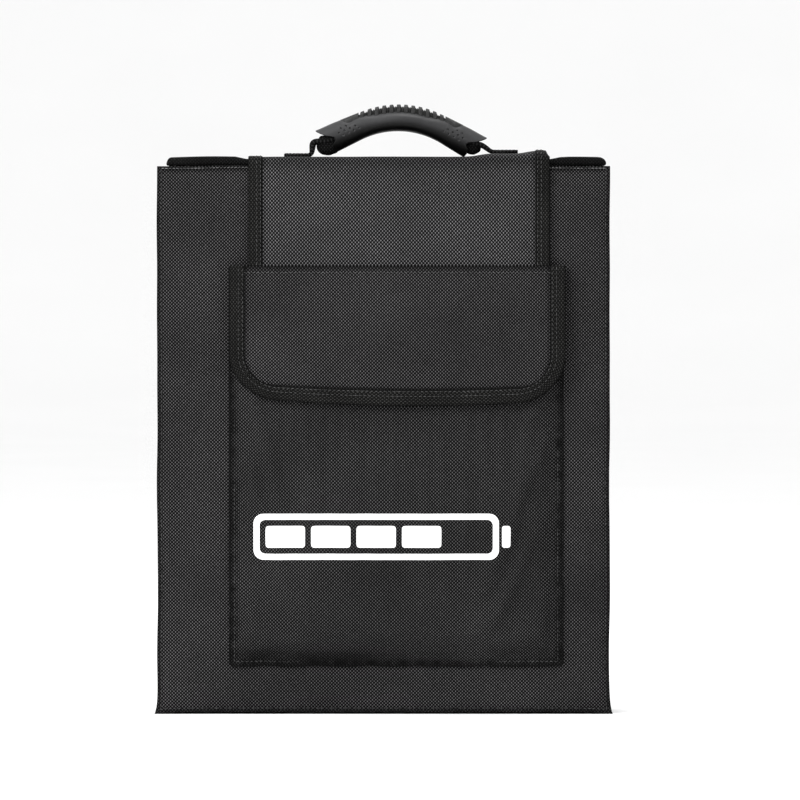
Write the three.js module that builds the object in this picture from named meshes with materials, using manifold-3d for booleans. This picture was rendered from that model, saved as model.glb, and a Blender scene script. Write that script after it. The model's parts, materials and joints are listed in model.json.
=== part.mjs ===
// A fire-resistant storage bag for lithium-polymer batteries: an upright, flat, box-shaped bag of black
// woven nylon over foam board, with a glass-cloth liner. A wide strap is sewn to the back wall and to the
// lid, comes down over the front wall and ends in the flap of a patch pocket. A moulded grip stands on the lid.
// Millimetres. X is to the right, the front wall faces -Y, and the bag stands on Z = 0.

import * as THREE from "three";
import { mergeVertices } from "three/addons/utils/BufferGeometryUtils.js";
import Module from "manifold-3d";

const wasm = await Module();
wasm.setup();

// ---- Driving dimensions ----

// Bag body.
const PANEL_WIDTH = 375;
const PANEL_HEIGHT = 451;
const BAG_DEPTH = 50;
const SEAM_FLANGE = 6; // the front and back panels stand out this far past the side gussets

// Cloth, foam board and liner, and the air between two pieces that touch.
const SHELL = 1.6;
const BOARD = 3;
const LINER = 1.2;
const CLEARANCE = 0.3;
const BOARD_TOP_HEM = 4; // the boards end this far below the top edge, where shell meets liner

// Lid.
const LID_SETBACK = 1.5; // the lid's front face stands this far behind the front panel's face

// Strap, which runs from the back wall over the lid to the pocket flap.
const STRAP_WIDTH = 247;
const STRAP_OFFSET = 12.8; // the middle of the strap, to the right of the bag's middle
const STRAP = 2;
const STRAP_BACK_DROP = 90;
const STRAP_HINGE_GAP = 1.5; // the sewn part of the strap's back ends this far below the lid's hinge line
const BINDING_WIDTH = 10.7;
const BINDING = 3;

// Hook-and-loop tape.
const TAPE = 1;
const TAPE_HEIGHT = 25;
const TAPE_SIDE_MARGIN = 28; // from the edge of the piece that carries the tape to the end of the tape
const STRAP_TAIL = 30; // the strap goes on this far below the pocket flap's seam

// Patch pocket and its flap.
const POCKET_WIDTH = 275;
const POCKET_OFFSET = 10.4;
const POCKET_BOTTOM = 39.5;
const POCKET_WALL = 1.5;
const POCKET_SIDE_SLOPE = 12; // the pocket's sides reach their full depth over this width
const POCKET_BELLY = 28; // and its bottom over this height
const POCKET_EDGE = 2.2; // thickness of the pocket where it is sewn down
const POCKET_MOUTH_BELOW_SEAM = 60;
const HEM_HEIGHT = 12;
const FLAP_WIDTH = 276;
const FLAP_OFFSET = 11.5;
const FLAP_SEAM_DROP = 81; // from the front panel's top edge down to the seam between strap and flap
const FLAP_DROP = 113;
const FLAP = 2;
const FLAP_SLOPE = 4; // degrees that the flap leans out over the pocket
const FLAP_CORNER_RADIUS = 39;
const FLAP_BINDING_WIDTH = 12;

// Handle.
const HANDLE_OFFSET = 14.4;
const HEEL_CLEARANCE = 1.5; // from the strap on the lid up to the lowest corner of the grip's ends
const HANDLE_LEAN = 1; // degrees that the grip hangs down on its right
const GRIP_LENGTH = 139;
const GRIP_CROWN = 29.9; // all grip heights are above the pivot
const GRIP_ARCH_RADIUS = 81;
const GRIP_BELLY_CROWN = 10.1;
const GRIP_BELLY_RADIUS = 62;
const GRIP_ARCH_HALF = 33; // the arch is round this far from the middle, and straight beyond
const GRIP_MIDDLE_WIDTH = 27;
const GRIP_END_WIDTH = 22;
const GRIP_MOUTH = 17.2; // from the tip of the grip's end back to its lower corner, the heel
const GRIP_MOUTH_DEPTH = 5;
const RIB_COUNT = 12;
const RIB_PITCH = 6;
const RIB_HEIGHT = 2.2;
const INSERT_HALF = 46;
const INSERT_WIDTH = 14;
const INSERT_BASE = 2.6;
const WEBBING_WIDTH = 20;
const WEBBING = 3;
const WEBBING_CROWN = 17;
const WEBBING_RADIUS = 72;
const WEBBING_ABOVE_HEEL = 6; // its ends level off this far above the heels, on the way to the anchors
const ANCHOR_LENGTH = 24;
const ANCHOR_PAD = 2;

// ---- Places worked out from the driving dimensions ----

const FRONT = 0; // outer face of the front panel, until the finished bag is centred on its own box
const BACK = FRONT + BAG_DEPTH;
const PANEL_HALF = PANEL_WIDTH / 2;
const GUSSET_HALF = PANEL_HALF - SEAM_FLANGE;
const INNER_HALF = GUSSET_HALF - SHELL - CLEARANCE;
const WALL = SHELL + CLEARANCE + BOARD + CLEARANCE + LINER;
const BOARD_TOP = PANEL_HEIGHT - BOARD_TOP_HEM;

const LID_BOTTOM = PANEL_HEIGHT + CLEARANCE;
const LID_TOP = LID_BOTTOM + LINER + CLEARANCE + BOARD + CLEARANCE + SHELL;
const LID_MIDDLE = (FRONT + LID_SETBACK + BACK) / 2;

const FLAP_SEAM_HEIGHT = PANEL_HEIGHT - FLAP_SEAM_DROP;
const STRAP_LEFT = STRAP_OFFSET - STRAP_WIDTH / 2;
const STRAP_RIGHT = STRAP_OFFSET + STRAP_WIDTH / 2;
const STRAP_ON_LID = LID_TOP + CLEARANCE;
const STRAP_TOP = STRAP_ON_LID + STRAP;
const STRAP_FRONT_INNER = FRONT - CLEARANCE - TAPE - CLEARANCE - TAPE - CLEARANCE;
const STRAP_FRONT_OUTER = STRAP_FRONT_INNER - STRAP;
const STRAP_BACK_INNER = BACK + CLEARANCE;

const FLAP_INNER = STRAP_FRONT_OUTER - CLEARANCE;
const FLAP_STACK = CLEARANCE + TAPE + CLEARANCE + TAPE + CLEARANCE; // from the flap's lining to the pocket
const SLOPE = THREE.MathUtils.degToRad(FLAP_SLOPE);

// The pocket's front is parallel to the flap under it, and upright below it.
const pocketDepth = (belowSeam) => FRONT - FLAP_INNER - FLAP_STACK + belowSeam * Math.tan(SLOPE);
const POCKET_MOUTH = FLAP_SEAM_HEIGHT - POCKET_MOUTH_BELOW_SEAM;
const POCKET_DEPTH = pocketDepth(FLAP_DROP);
const POCKET_LEFT = POCKET_OFFSET - POCKET_WIDTH / 2;
const POCKET_RIGHT = POCKET_OFFSET + POCKET_WIDTH / 2;

// Height of an arch that is round in the middle and goes on straight beyond GRIP_ARCH_HALF.
function archHeight(x, crown, radius) {
  const rise = (u) => Math.sqrt(radius * radius - u * u);
  const round = Math.min(Math.abs(x), GRIP_ARCH_HALF);
  const straight = Math.abs(x) - round;
  return crown - radius + rise(round) - (straight * GRIP_ARCH_HALF) / rise(GRIP_ARCH_HALF);
}

const TIP = GRIP_LENGTH / 2;
const GRIP_HEEL = TIP - GRIP_MOUTH;
const TIP_HEIGHT = archHeight(TIP, GRIP_CROWN, GRIP_ARCH_RADIUS);
const HEEL_HEIGHT = archHeight(GRIP_HEEL, GRIP_BELLY_CROWN, GRIP_BELLY_RADIUS);
const PIVOT_HEIGHT = STRAP_TOP + HEEL_CLEARANCE - HEEL_HEIGHT;
const RISER = TIP + WEBBING; // inner face of each anchor's upright end, from the grip's middle

// ---- Materials ----

const material = (color, roughness) => new THREE.MeshStandardMaterial({ color, roughness, metalness: 0 });
const NYLON = material(0x3a393b, 0.8);
const BINDING_TAPE = material(0x2a292a, 0.7);
const FOAM_BOARD = material(0x6f7377, 0.95);
const GLASS_CLOTH = material(0xa9aaa6, 0.6);
const HOOK_TAPE = material(0x1d1d1f, 0.9);
const MOULDED_GREY = material(0x4a4a4b, 0.5);
const RIB_RUBBER = material(0x2c2c2e, 0.6);

// ---- Ways of making a piece ----

const bag = new THREE.Group();

function add(name, geometry, look, parent = bag) {
  const mesh = new THREE.Mesh(geometry, look);
  mesh.name = name;
  parent.add(mesh);
  return mesh;
}

function block([x0, x1], [y0, y1], [z0, z1]) {
  const geometry = new THREE.BoxGeometry(x1 - x0, y1 - y0, z1 - z0);
  return geometry.translate((x0 + x1) / 2, (y0 + y1) / 2, (z0 + z1) / 2);
}

const X = new THREE.Vector3(1, 0, 0);
const Y = new THREE.Vector3(0, 1, 0);
const Z = new THREE.Vector3(0, 0, 1);
const ACROSS = new THREE.Matrix4().makeBasis(Y, Z, X); // an outline of (y, z), extruded along +X
const OUTWARD = new THREE.Matrix4().makeBasis(X, Z, Y.clone().negate()); // (x, z), extruded along -Y
const UPWARD = new THREE.Matrix4(); // (x, y), extruded along +Z

function prism(outline, basis, start, depth, curveSegments = 10) {
  const shape = outline instanceof THREE.Shape ? outline : new THREE.Shape(outline);
  const geometry = new THREE.ExtrudeGeometry(shape, { depth, bevelEnabled: false, curveSegments });
  return geometry.translate(0, 0, start).applyMatrix4(basis);
}

const points = (pairs) => pairs.map(([u, v]) => new THREE.Vector2(u, v));

// A closed geometry as a manifold-3d solid, and back.
function solid(geometry) {
  const bare = geometry.clone();
  bare.deleteAttribute("normal");
  bare.deleteAttribute("uv");
  const merged = mergeVertices(bare, 1e-4);
  const vertProperties = merged.attributes.position.array;
  const triVerts = new Uint32Array(merged.index.array);
  return new wasm.Manifold(new wasm.Mesh({ numProp: 3, vertProperties, triVerts }));
}

function geometryOf(made) {
  const { vertProperties, triVerts } = made.getMesh();
  const geometry = new THREE.BufferGeometry();
  geometry.setAttribute("position", new THREE.BufferAttribute(vertProperties, 3));
  return geometry.setIndex(new THREE.BufferAttribute(triVerts, 1));
}

// ---- Walls: shell outside, foam board between, liner inside ----

function panelWall(side, outer, inward) {
  const layer = (from, thickness) => {
    const near = outer + inward * from;
    const far = near + inward * thickness;
    return [Math.min(near, far), Math.max(near, far)];
  };
  const above = SHELL + CLEARANCE;
  const boardFrom = SHELL + CLEARANCE;
  const linerFrom = boardFrom + BOARD + CLEARANCE;
  const full = [-PANEL_HALF, PANEL_HALF];
  const inner = [-INNER_HALF, INNER_HALF];
  add(`${side}_shell`, block(full, layer(0, SHELL), [0, PANEL_HEIGHT]), NYLON);
  add(`${side}_board`, block(inner, layer(boardFrom, BOARD), [above, BOARD_TOP]), FOAM_BOARD);
  add(`${side}_liner`, block(inner, layer(linerFrom, LINER), [above, PANEL_HEIGHT]), GLASS_CLOTH);
}

panelWall("front", FRONT, 1);
panelWall("back", BACK, -1);

const gussetY = [FRONT + SHELL + CLEARANCE, BACK - SHELL - CLEARANCE];
const innerY = [FRONT + WALL + CLEARANCE, BACK - WALL - CLEARANCE];

function sideWall(side, sign) {
  const layer = (from, thickness) => {
    const near = sign * (GUSSET_HALF - from);
    const far = sign * (GUSSET_HALF - from - thickness);
    return [Math.min(near, far), Math.max(near, far)];
  };
  const foamFrom = SHELL + CLEARANCE;
  const linerFrom = foamFrom + BOARD + CLEARANCE;
  const above = SHELL + CLEARANCE;
  add(`${side}_gusset`, block(layer(0, SHELL), gussetY, [0, PANEL_HEIGHT]), NYLON);
  add(`${side}_gusset_foam`, block(layer(foamFrom, BOARD), innerY, [above, BOARD_TOP]), FOAM_BOARD);
  add(`${side}_gusset_liner`, block(layer(linerFrom, LINER), innerY, [above, PANEL_HEIGHT]), GLASS_CLOTH);
}

sideWall("left", -1);
sideWall("right", 1);

const floorHalf = GUSSET_HALF - WALL - CLEARANCE;
const boardOnFloor = SHELL + CLEARANCE;
const linerOnFloor = boardOnFloor + BOARD + CLEARANCE;
const floorX = [-floorHalf, floorHalf];
add("bottom_gusset", block([-INNER_HALF, INNER_HALF], gussetY, [0, SHELL]), NYLON);
add("bottom_board", block(floorX, innerY, [boardOnFloor, boardOnFloor + BOARD]), FOAM_BOARD);
add("bottom_liner", block(floorX, innerY, [linerOnFloor, linerOnFloor + LINER]), GLASS_CLOTH);

// ---- Lid: a shallow turned-down cover that holds its board and liner ----

const lidOuterX = [-GUSSET_HALF, GUSSET_HALF];
const lidOuterY = [FRONT + LID_SETBACK, BACK];
const inset = ([low, high], by) => [low + by, high - by];
const lidCavity = [inset(lidOuterX, SHELL), inset(lidOuterY, SHELL), [LID_BOTTOM - SHELL, LID_TOP - SHELL]];
const lidBlock = solid(block(lidOuterX, lidOuterY, [LID_BOTTOM, LID_TOP]));
const lidCover = lidBlock.subtract(solid(block(...lidCavity)));
const lidInnerX = inset(lidOuterX, SHELL + CLEARANCE);
const lidInnerY = inset(lidOuterY, SHELL + CLEARANCE);
const lidBoardBottom = LID_BOTTOM + LINER + CLEARANCE;
add("lid_shell", geometryOf(lidCover), NYLON);
add("lid_board", block(lidInnerX, lidInnerY, [lidBoardBottom, lidBoardBottom + BOARD]), FOAM_BOARD);
add("lid_liner", block(lidInnerX, lidInnerY, [LID_BOTTOM, LID_BOTTOM + LINER]), GLASS_CLOTH);

// ---- Strap: three lengths, each with a folded binding tape along both edges ----

function strapLength(name, [y0, y1], [z0, z1], boundY, boundZ) {
  const left = STRAP_LEFT + BINDING_WIDTH;
  const right = STRAP_RIGHT - BINDING_WIDTH;
  add(name, block([left + CLEARANCE, right - CLEARANCE], [y0, y1], [z0, z1]), NYLON);
  add(`${name}_binding_left`, block([STRAP_LEFT, left], boundY, boundZ), BINDING_TAPE);
  add(`${name}_binding_right`, block([right, STRAP_RIGHT], boundY, boundZ), BINDING_TAPE);
}

const backZ = [PANEL_HEIGHT - STRAP_BACK_DROP, PANEL_HEIGHT - STRAP_HINGE_GAP];
strapLength(
  "back_strap",
  [STRAP_BACK_INNER, STRAP_BACK_INNER + STRAP],
  backZ,
  [STRAP_BACK_INNER, STRAP_BACK_INNER + BINDING],
  backZ,
);

const overLidY = [STRAP_FRONT_INNER + CLEARANCE, STRAP_BACK_INNER + STRAP];
strapLength(
  "top_strap",
  overLidY,
  [STRAP_ON_LID, STRAP_TOP],
  overLidY,
  [STRAP_ON_LID, STRAP_ON_LID + BINDING],
);

const frontZ = [FLAP_SEAM_HEIGHT - STRAP_TAIL, STRAP_ON_LID - CLEARANCE];
strapLength(
  "front_strap",
  [STRAP_FRONT_OUTER, STRAP_FRONT_INNER],
  frontZ,
  [STRAP_FRONT_INNER - BINDING, STRAP_FRONT_INNER],
  [FLAP_SEAM_HEIGHT + CLEARANCE, frontZ[1]],
);

// The strap's tail grips the front panel with hook-and-loop tape, hidden under the pocket flap.
const frontTapeX = [STRAP_LEFT + TAPE_SIDE_MARGIN, STRAP_RIGHT - TAPE_SIDE_MARGIN];
const frontTapeZ = [frontZ[0] + CLEARANCE, frontZ[0] + CLEARANCE + TAPE_HEIGHT];
const loopOuter = FRONT - CLEARANCE - TAPE;
const hookInner = loopOuter - CLEARANCE;
add("front_loop_tape", block(frontTapeX, [loopOuter, FRONT - CLEARANCE], frontTapeZ), HOOK_TAPE);
add("front_hook_tape", block(frontTapeX, [hookInner - TAPE, hookInner], frontTapeZ), HOOK_TAPE);

// ---- Patch pocket: a bellied pouch open at the top and sewn to the front panel ----

const againstPanel = FRONT - CLEARANCE;
const bellyTop = POCKET_BOTTOM + POCKET_BELLY;
const underFlap = FLAP_SEAM_HEIGHT - FLAP_DROP;
const mouthDepth = pocketDepth(POCKET_MOUTH_BELOW_SEAM);

function pocketProfile(wall, base, rim) {
  return points([
    [base, POCKET_BOTTOM + wall],
    [FRONT - POCKET_EDGE + wall, POCKET_BOTTOM + wall],
    [FRONT - POCKET_DEPTH + wall, bellyTop],
    [FRONT - POCKET_DEPTH + wall, underFlap],
    [FRONT - mouthDepth + (rim - POCKET_MOUTH) * Math.tan(SLOPE) + wall, rim],
    [base, rim],
  ]).reverse();
}

function pocketPlan(wall, base) {
  const left = POCKET_LEFT + wall;
  const right = POCKET_RIGHT - wall;
  const near = FRONT - POCKET_EDGE + wall;
  const far = FRONT - POCKET_DEPTH + wall;
  return points([
    [left, base],
    [left, near],
    [left + POCKET_SIDE_SLOPE, far],
    [right - POCKET_SIDE_SLOPE, far],
    [right, near],
    [right, base],
  ]);
}

function pocketSolid(wall, base, rim) {
  const across = prism(pocketProfile(wall, base, rim), ACROSS, POCKET_LEFT + wall, POCKET_WIDTH - 2 * wall);
  const upright = prism(pocketPlan(wall, base), UPWARD, 0, PANEL_HEIGHT);
  return solid(across).intersect(solid(upright));
}

const pouchSpace = pocketSolid(POCKET_WALL, FRONT + SHELL, POCKET_MOUTH + SHELL);
add("pocket_pouch", geometryOf(pocketSolid(0, againstPanel, POCKET_MOUTH).subtract(pouchSpace)), NYLON);

// Pieces on the slope between the pocket and its flap share the flap's turned frame: its origin is the outer
// face of the flap at its seam, x is the bag's x, y is square to the cloth and z runs up the cloth.
const flapFrame = new THREE.Group();
flapFrame.position.set(0, FLAP_INNER - FLAP, FLAP_SEAM_HEIGHT);
flapFrame.rotation.x = -SLOPE;
bag.add(flapFrame);

const flapLining = FLAP;
const hookBack = flapLining + CLEARANCE;
const loopBack = hookBack + TAPE + CLEARANCE;
const hemTop = -POCKET_MOUTH_BELOW_SEAM / Math.cos(SLOPE) - CLEARANCE;
const hemX = inset([POCKET_LEFT, POCKET_RIGHT], POCKET_SIDE_SLOPE + CLEARANCE);
const hem = block(hemX, [loopBack, loopBack + TAPE], [hemTop - HEM_HEIGHT, hemTop]);
add("pocket_mouth_hem", hem, BINDING_TAPE, flapFrame);

const flapLeft = FLAP_OFFSET - FLAP_WIDTH / 2;
const flapRight = FLAP_OFFSET + FLAP_WIDTH / 2;
const tapeTop = hemTop - HEM_HEIGHT - CLEARANCE;
const pocketTapeZ = [tapeTop - TAPE_HEIGHT, tapeTop];
const pocketTapeX = inset([flapLeft, flapRight], FLAP_BINDING_WIDTH + TAPE_SIDE_MARGIN);
add("pocket_loop_tape", block(pocketTapeX, [loopBack, loopBack + TAPE], pocketTapeZ), HOOK_TAPE, flapFrame);
add("pocket_hook_tape", block(pocketTapeX, [hookBack, hookBack + TAPE], pocketTapeZ), HOOK_TAPE, flapFrame);

// ---- Pocket flap: round lower corners, with a binding tape round its three free edges ----

// The flap's outline drawn in by a margin: a tongue with round lower corners, from the seam or above it down.
function tongue(margin, outerFace, thickness, top) {
  const left = flapLeft + margin;
  const right = flapRight - margin;
  const radius = FLAP_CORNER_RADIUS - margin;
  const centre = margin + radius - FLAP_DROP;
  const shape = new THREE.Shape();
  shape.moveTo(left, top);
  shape.lineTo(left, centre);
  shape.absarc(left + radius, centre, radius, Math.PI, 1.5 * Math.PI, false);
  shape.absarc(right - radius, centre, radius, 1.5 * Math.PI, 2 * Math.PI, false);
  shape.lineTo(right, top);
  shape.closePath();
  return solid(prism(shape, OUTWARD, -outerFace - thickness, thickness));
}

const flapPanel = tongue(FLAP_BINDING_WIDTH + CLEARANCE, 0, FLAP, 0);
const flapEdge = tongue(0, FLAP - BINDING, BINDING, 0);
const insideEdge = tongue(FLAP_BINDING_WIDTH, -BINDING, 3 * BINDING, BINDING);
add("pocket_flap", geometryOf(flapPanel), NYLON, flapFrame);
add("pocket_flap_binding", geometryOf(flapEdge.subtract(insideEdge)), BINDING_TAPE, flapFrame);

// ---- Handle: a moulded arch on a webbing, its ends sewn to the strap on the lid ----

const STEP = 5;
function archLine(half, crown, radius, floor = -Infinity) {
  const count = 2 * Math.round(half / STEP);
  const xs = Array.from({ length: count + 1 }, (_, i) => half * ((2 * i) / count - 1));
  return xs.map((x) => [x, Math.max(floor, archHeight(x, crown, radius))]);
}

// A closed arched strip between two arch lines, square across.
function archStrip(width, low, high) {
  return prism(points([...low, ...high.reverse()]), OUTWARD, -width / 2, width);
}

// The webbing's own strip, or with a clearance all round the channel it runs in.
function webbingStrip(half, clearance) {
  const end = HEEL_HEIGHT + WEBBING_ABOVE_HEEL;
  const line = (lift) => archLine(half, WEBBING_CROWN + lift, WEBBING_RADIUS + Math.max(0, lift), end + lift);
  return archStrip(WEBBING_WIDTH + 2 * clearance, line(-clearance), line(WEBBING + clearance));
}

// The grip's body: a row of rounded sections, each from the belly line up to the crown line.
function gripBody() {
  const SIDES = 24;
  const SQUARENESS = 2.4;
  const xs = archLine(TIP, GRIP_CROWN, GRIP_ARCH_RADIUS).map(([x]) => x);
  const position = [];
  const index = [];
  const bulge = (t) => Math.sign(t) * Math.abs(t) ** (2 / SQUARENESS);
  xs.forEach((x, ring) => {
    const top = archHeight(x, GRIP_CROWN, GRIP_ARCH_RADIUS);
    const bottom = archHeight(x, GRIP_BELLY_CROWN, GRIP_BELLY_RADIUS);
    const share = Math.min(1, Math.abs(x) / GRIP_HEEL);
    const halfWidth = THREE.MathUtils.lerp(GRIP_MIDDLE_WIDTH, GRIP_END_WIDTH, share) / 2;
    for (let side = 0; side < SIDES; side++) {
      const angle = (2 * Math.PI * side) / SIDES;
      const y = halfWidth * bulge(Math.cos(angle));
      const z = (top + bottom) / 2 + ((top - bottom) / 2) * bulge(Math.sin(angle));
      position.push(x, y, z);
      if (ring === 0) continue;
      const a = (ring - 1) * SIDES + side;
      const b = (ring - 1) * SIDES + ((side + 1) % SIDES);
      index.push(a, b, b + SIDES, a, b + SIDES, a + SIDES);
    }
  });
  const last = (xs.length - 1) * SIDES;
  for (let side = 1; side < SIDES - 1; side++) {
    index.push(0, side + 1, side);
    index.push(last, last + side, last + side + 1);
  }
  const geometry = new THREE.BufferGeometry();
  geometry.setAttribute("position", new THREE.Float32BufferAttribute(position, 3));
  return solid(geometry.setIndex(index));
}

// What is cut off beyond each end of the grip: a notched mouth from the tip back to the heel.
function mouthCut(sign) {
  const lip = TIP_HEIGHT - WEBBING / 2;
  const far = TIP + GRIP_MIDDLE_WIDTH;
  const below = HEEL_HEIGHT - GRIP_END_WIDTH;
  const outline = [
    [TIP, lip],
    [(TIP + GRIP_HEEL) / 2 - GRIP_MOUTH_DEPTH, (lip + HEEL_HEIGHT) / 2 + GRIP_MOUTH_DEPTH],
    [GRIP_HEEL, HEEL_HEIGHT - CLEARANCE],
    [GRIP_HEEL, below],
    [far, below],
    [far, lip],
  ].map(([x, z]) => [sign * x, z]);
  const shape = points(sign < 0 ? outline : outline.reverse());
  return solid(prism(shape, OUTWARD, -GRIP_MIDDLE_WIDTH, 2 * GRIP_MIDDLE_WIDTH));
}

const handle = new THREE.Group();
handle.position.set(HANDLE_OFFSET, LID_MIDDLE, PIVOT_HEIGHT);
handle.rotation.y = THREE.MathUtils.degToRad(HANDLE_LEAN);
bag.add(handle);

const insertTop = GRIP_CROWN - RIB_HEIGHT;
const insertFloor = insertTop - INSERT_BASE;
const recess = archStrip(
  INSERT_WIDTH + 2 * CLEARANCE,
  archLine(INSERT_HALF + CLEARANCE, insertFloor - CLEARANCE, GRIP_ARCH_RADIUS),
  archLine(INSERT_HALF + CLEARANCE, GRIP_CROWN + INSERT_BASE, GRIP_ARCH_RADIUS),
);
const grip = gripBody()
  .subtract(mouthCut(-1))
  .subtract(mouthCut(1))
  .subtract(solid(webbingStrip(RISER, CLEARANCE)))
  .subtract(solid(recess));
add("handle_grip", geometryOf(grip), MOULDED_GREY, handle);

// The soft insert: a base strip with a row of cross ribs and a smooth cap at each end.
const ribbed = (RIB_COUNT * RIB_PITCH) / 2;
function insertOutline() {
  const crownLine = (x, drop) => [x, archHeight(x, GRIP_CROWN - drop, GRIP_ARCH_RADIUS)];
  const top = [crownLine(-INSERT_HALF, 0)];
  for (let rib = 0; rib < RIB_COUNT; rib++) {
    const start = rib * RIB_PITCH - ribbed;
    top.push(crownLine(start, rib === 0 ? 0 : RIB_HEIGHT));
    if (rib === 0) top.push(crownLine(start + CLEARANCE, RIB_HEIGHT));
    top.push(crownLine(start + RIB_PITCH / 4, RIB_HEIGHT));
    top.push(crownLine(start + RIB_PITCH / 3, 0));
    top.push(crownLine(start + (2 * RIB_PITCH) / 3, 0));
    top.push(crownLine(start + (3 * RIB_PITCH) / 4, RIB_HEIGHT));
  }
  top.push(crownLine(ribbed - CLEARANCE, RIB_HEIGHT), crownLine(ribbed, 0), crownLine(INSERT_HALF, 0));
  const bottom = archLine(INSERT_HALF, insertFloor, GRIP_ARCH_RADIUS);
  return points([...bottom, ...top.reverse()]);
}
const ribInsert = prism(insertOutline(), OUTWARD, -INSERT_WIDTH / 2, INSERT_WIDTH);
add("handle_rib_insert", ribInsert, RIB_RUBBER, handle);

add("handle_webbing", webbingStrip(RISER - CLEARANCE, 0), BINDING_TAPE, handle);

// The webbing's sewn ends: a flat pad on the strap with its inner end turned up beside the grip.
function anchor(side, sign) {
  const z0 = STRAP_TOP + CLEARANCE;
  const outline = [
    [RISER, z0],
    [RISER + ANCHOR_LENGTH, z0],
    [RISER + ANCHOR_LENGTH, z0 + ANCHOR_PAD],
    [RISER + WEBBING, z0 + ANCHOR_PAD],
    [RISER + WEBBING, PIVOT_HEIGHT],
    [RISER, PIVOT_HEIGHT],
  ].map(([x, z]) => [HANDLE_OFFSET + sign * x, z]);
  const shape = points(sign > 0 ? outline : outline.reverse());
  const strip = prism(shape, OUTWARD, -LID_MIDDLE - WEBBING_WIDTH / 2, WEBBING_WIDTH);
  add(`handle_anchor_${side}`, strip, BINDING_TAPE);
}

anchor("left", -1);
anchor("right", 1);

// ---- The bag stands on the middle of its own box ----

const box = new THREE.Box3().setFromObject(bag);
bag.position.y = -(box.min.y + box.max.y) / 2;

export default bag;
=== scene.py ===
"""The finished looks of an upright nylon battery storage bag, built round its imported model.

The sections follow the bag as it is sewn together: wall panels, gussets, lining, lid, strap, hook-and-loop
tape, pocket, print, pocket flap, grip and webbing, and then the floor, the lights and the camera. Metres
throughout.
"""

import json
import math

import bpy
import numpy as np
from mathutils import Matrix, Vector
from mathutils.bvhtree import BVHTree


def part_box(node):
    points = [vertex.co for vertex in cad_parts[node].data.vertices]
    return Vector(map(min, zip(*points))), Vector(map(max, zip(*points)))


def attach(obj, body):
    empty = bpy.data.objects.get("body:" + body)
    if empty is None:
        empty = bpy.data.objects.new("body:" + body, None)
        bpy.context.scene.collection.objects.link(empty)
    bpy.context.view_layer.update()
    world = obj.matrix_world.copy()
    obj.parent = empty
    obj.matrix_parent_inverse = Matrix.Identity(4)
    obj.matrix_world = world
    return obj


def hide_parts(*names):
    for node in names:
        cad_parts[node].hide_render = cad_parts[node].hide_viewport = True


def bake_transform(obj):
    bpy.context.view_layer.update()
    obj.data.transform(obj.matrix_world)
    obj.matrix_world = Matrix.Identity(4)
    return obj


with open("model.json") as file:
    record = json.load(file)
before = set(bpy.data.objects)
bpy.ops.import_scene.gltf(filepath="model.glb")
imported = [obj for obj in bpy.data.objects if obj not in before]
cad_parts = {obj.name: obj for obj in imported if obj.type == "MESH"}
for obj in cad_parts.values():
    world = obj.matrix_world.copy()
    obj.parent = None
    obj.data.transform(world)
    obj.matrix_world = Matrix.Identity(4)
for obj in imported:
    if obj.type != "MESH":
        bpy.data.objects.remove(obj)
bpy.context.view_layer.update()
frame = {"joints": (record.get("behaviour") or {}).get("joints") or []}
MM = 0.001


# ---- Wall panels -------------------------------------------------------------------------------------------
# The front and back are one cut of black ballistic-weave nylon each, laid over foam board. Their edges are
# turned in and topstitched, so the cloth is flat outside the stitching and swells a little inside it.

PANEL_THICK, PANEL_SWELL = 1.5 * MM, 0.9 * MM
PANEL_HEM = 3.6 * MM  # from the edge to the topstitching
HEM_ROUND = 9 * MM  # the cloth reaches its full swell over this distance inside the stitching
CLOTH_CELL = 3 * MM
RIPPLE_WAVES = 7


def ripple(a, b, reach, seed):
    """Smooth unevenness from about -1 to 1, whose swells are about reach metres across."""
    rng = np.random.default_rng(seed)
    total = np.zeros_like(a)
    for _ in range(RIPPLE_WAVES):
        turn, phase = rng.uniform(0, 2 * math.pi, 2)
        wave = 2 * math.pi / (reach * rng.uniform(0.7, 1.9))
        total += np.sin((a * math.cos(turn) + b * math.sin(turn)) * wave + phase)
    return total / 3.2


def smooth(t):
    t = np.clip(t, 0, 1)
    return t * t * (3 - 2 * t)


def swell(edge):
    """0 in a seam's turned edge and 1 well inside it, with a dent along the stitching."""
    dent = 0.35 * line(edge - PANEL_HEM, 1.1 * MM)
    return smooth((edge - PANEL_HEM) / HEM_ROUND) ** 0.7 - dent


def line(distance, wide):
    """1 on a line and falling to 0 over about its width either side."""
    return np.exp(-((distance / wide) ** 2))


def select_only(piece):
    bpy.ops.object.select_all(action="DESELECT")
    bpy.context.view_layer.objects.active = piece
    piece.select_set(True)


def edit_all(*steps):
    """Runs each mesh operator, given as a function, on the whole of the active piece."""
    bpy.ops.object.mode_set(mode="EDIT")
    bpy.ops.mesh.select_all(action="SELECT")
    for step in steps:
        step()
    bpy.ops.object.mode_set(mode="OBJECT")


def face_out():
    bpy.ops.mesh.normals_make_consistent(inside=False)


def points_of(piece):
    flat = np.zeros(len(piece.data.vertices) * 3)
    piece.data.vertices.foreach_get("co", flat)
    return flat.reshape(-1, 3)


def reshape(piece, points):
    piece.data.vertices.foreach_set("co", points.ravel())
    piece.data.update()


def joint_at(name):
    """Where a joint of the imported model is."""
    return next(joint["pos_m"] for joint in frame["joints"] if joint["name"] == name)


def finish(piece, angle=40):
    """Shades a finished piece smooth, apart from its sharp edges."""
    select_only(piece)
    bpy.ops.object.shade_smooth_by_angle(angle=math.radians(angle))
    return piece


def apply_modifier(piece, kind, **settings):
    select_only(piece)
    made = piece.modifiers.new(kind.title(), kind)
    for key, value in settings.items():
        setattr(made, key, value)
    bpy.ops.object.modifier_apply(modifier=made.name)


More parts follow.
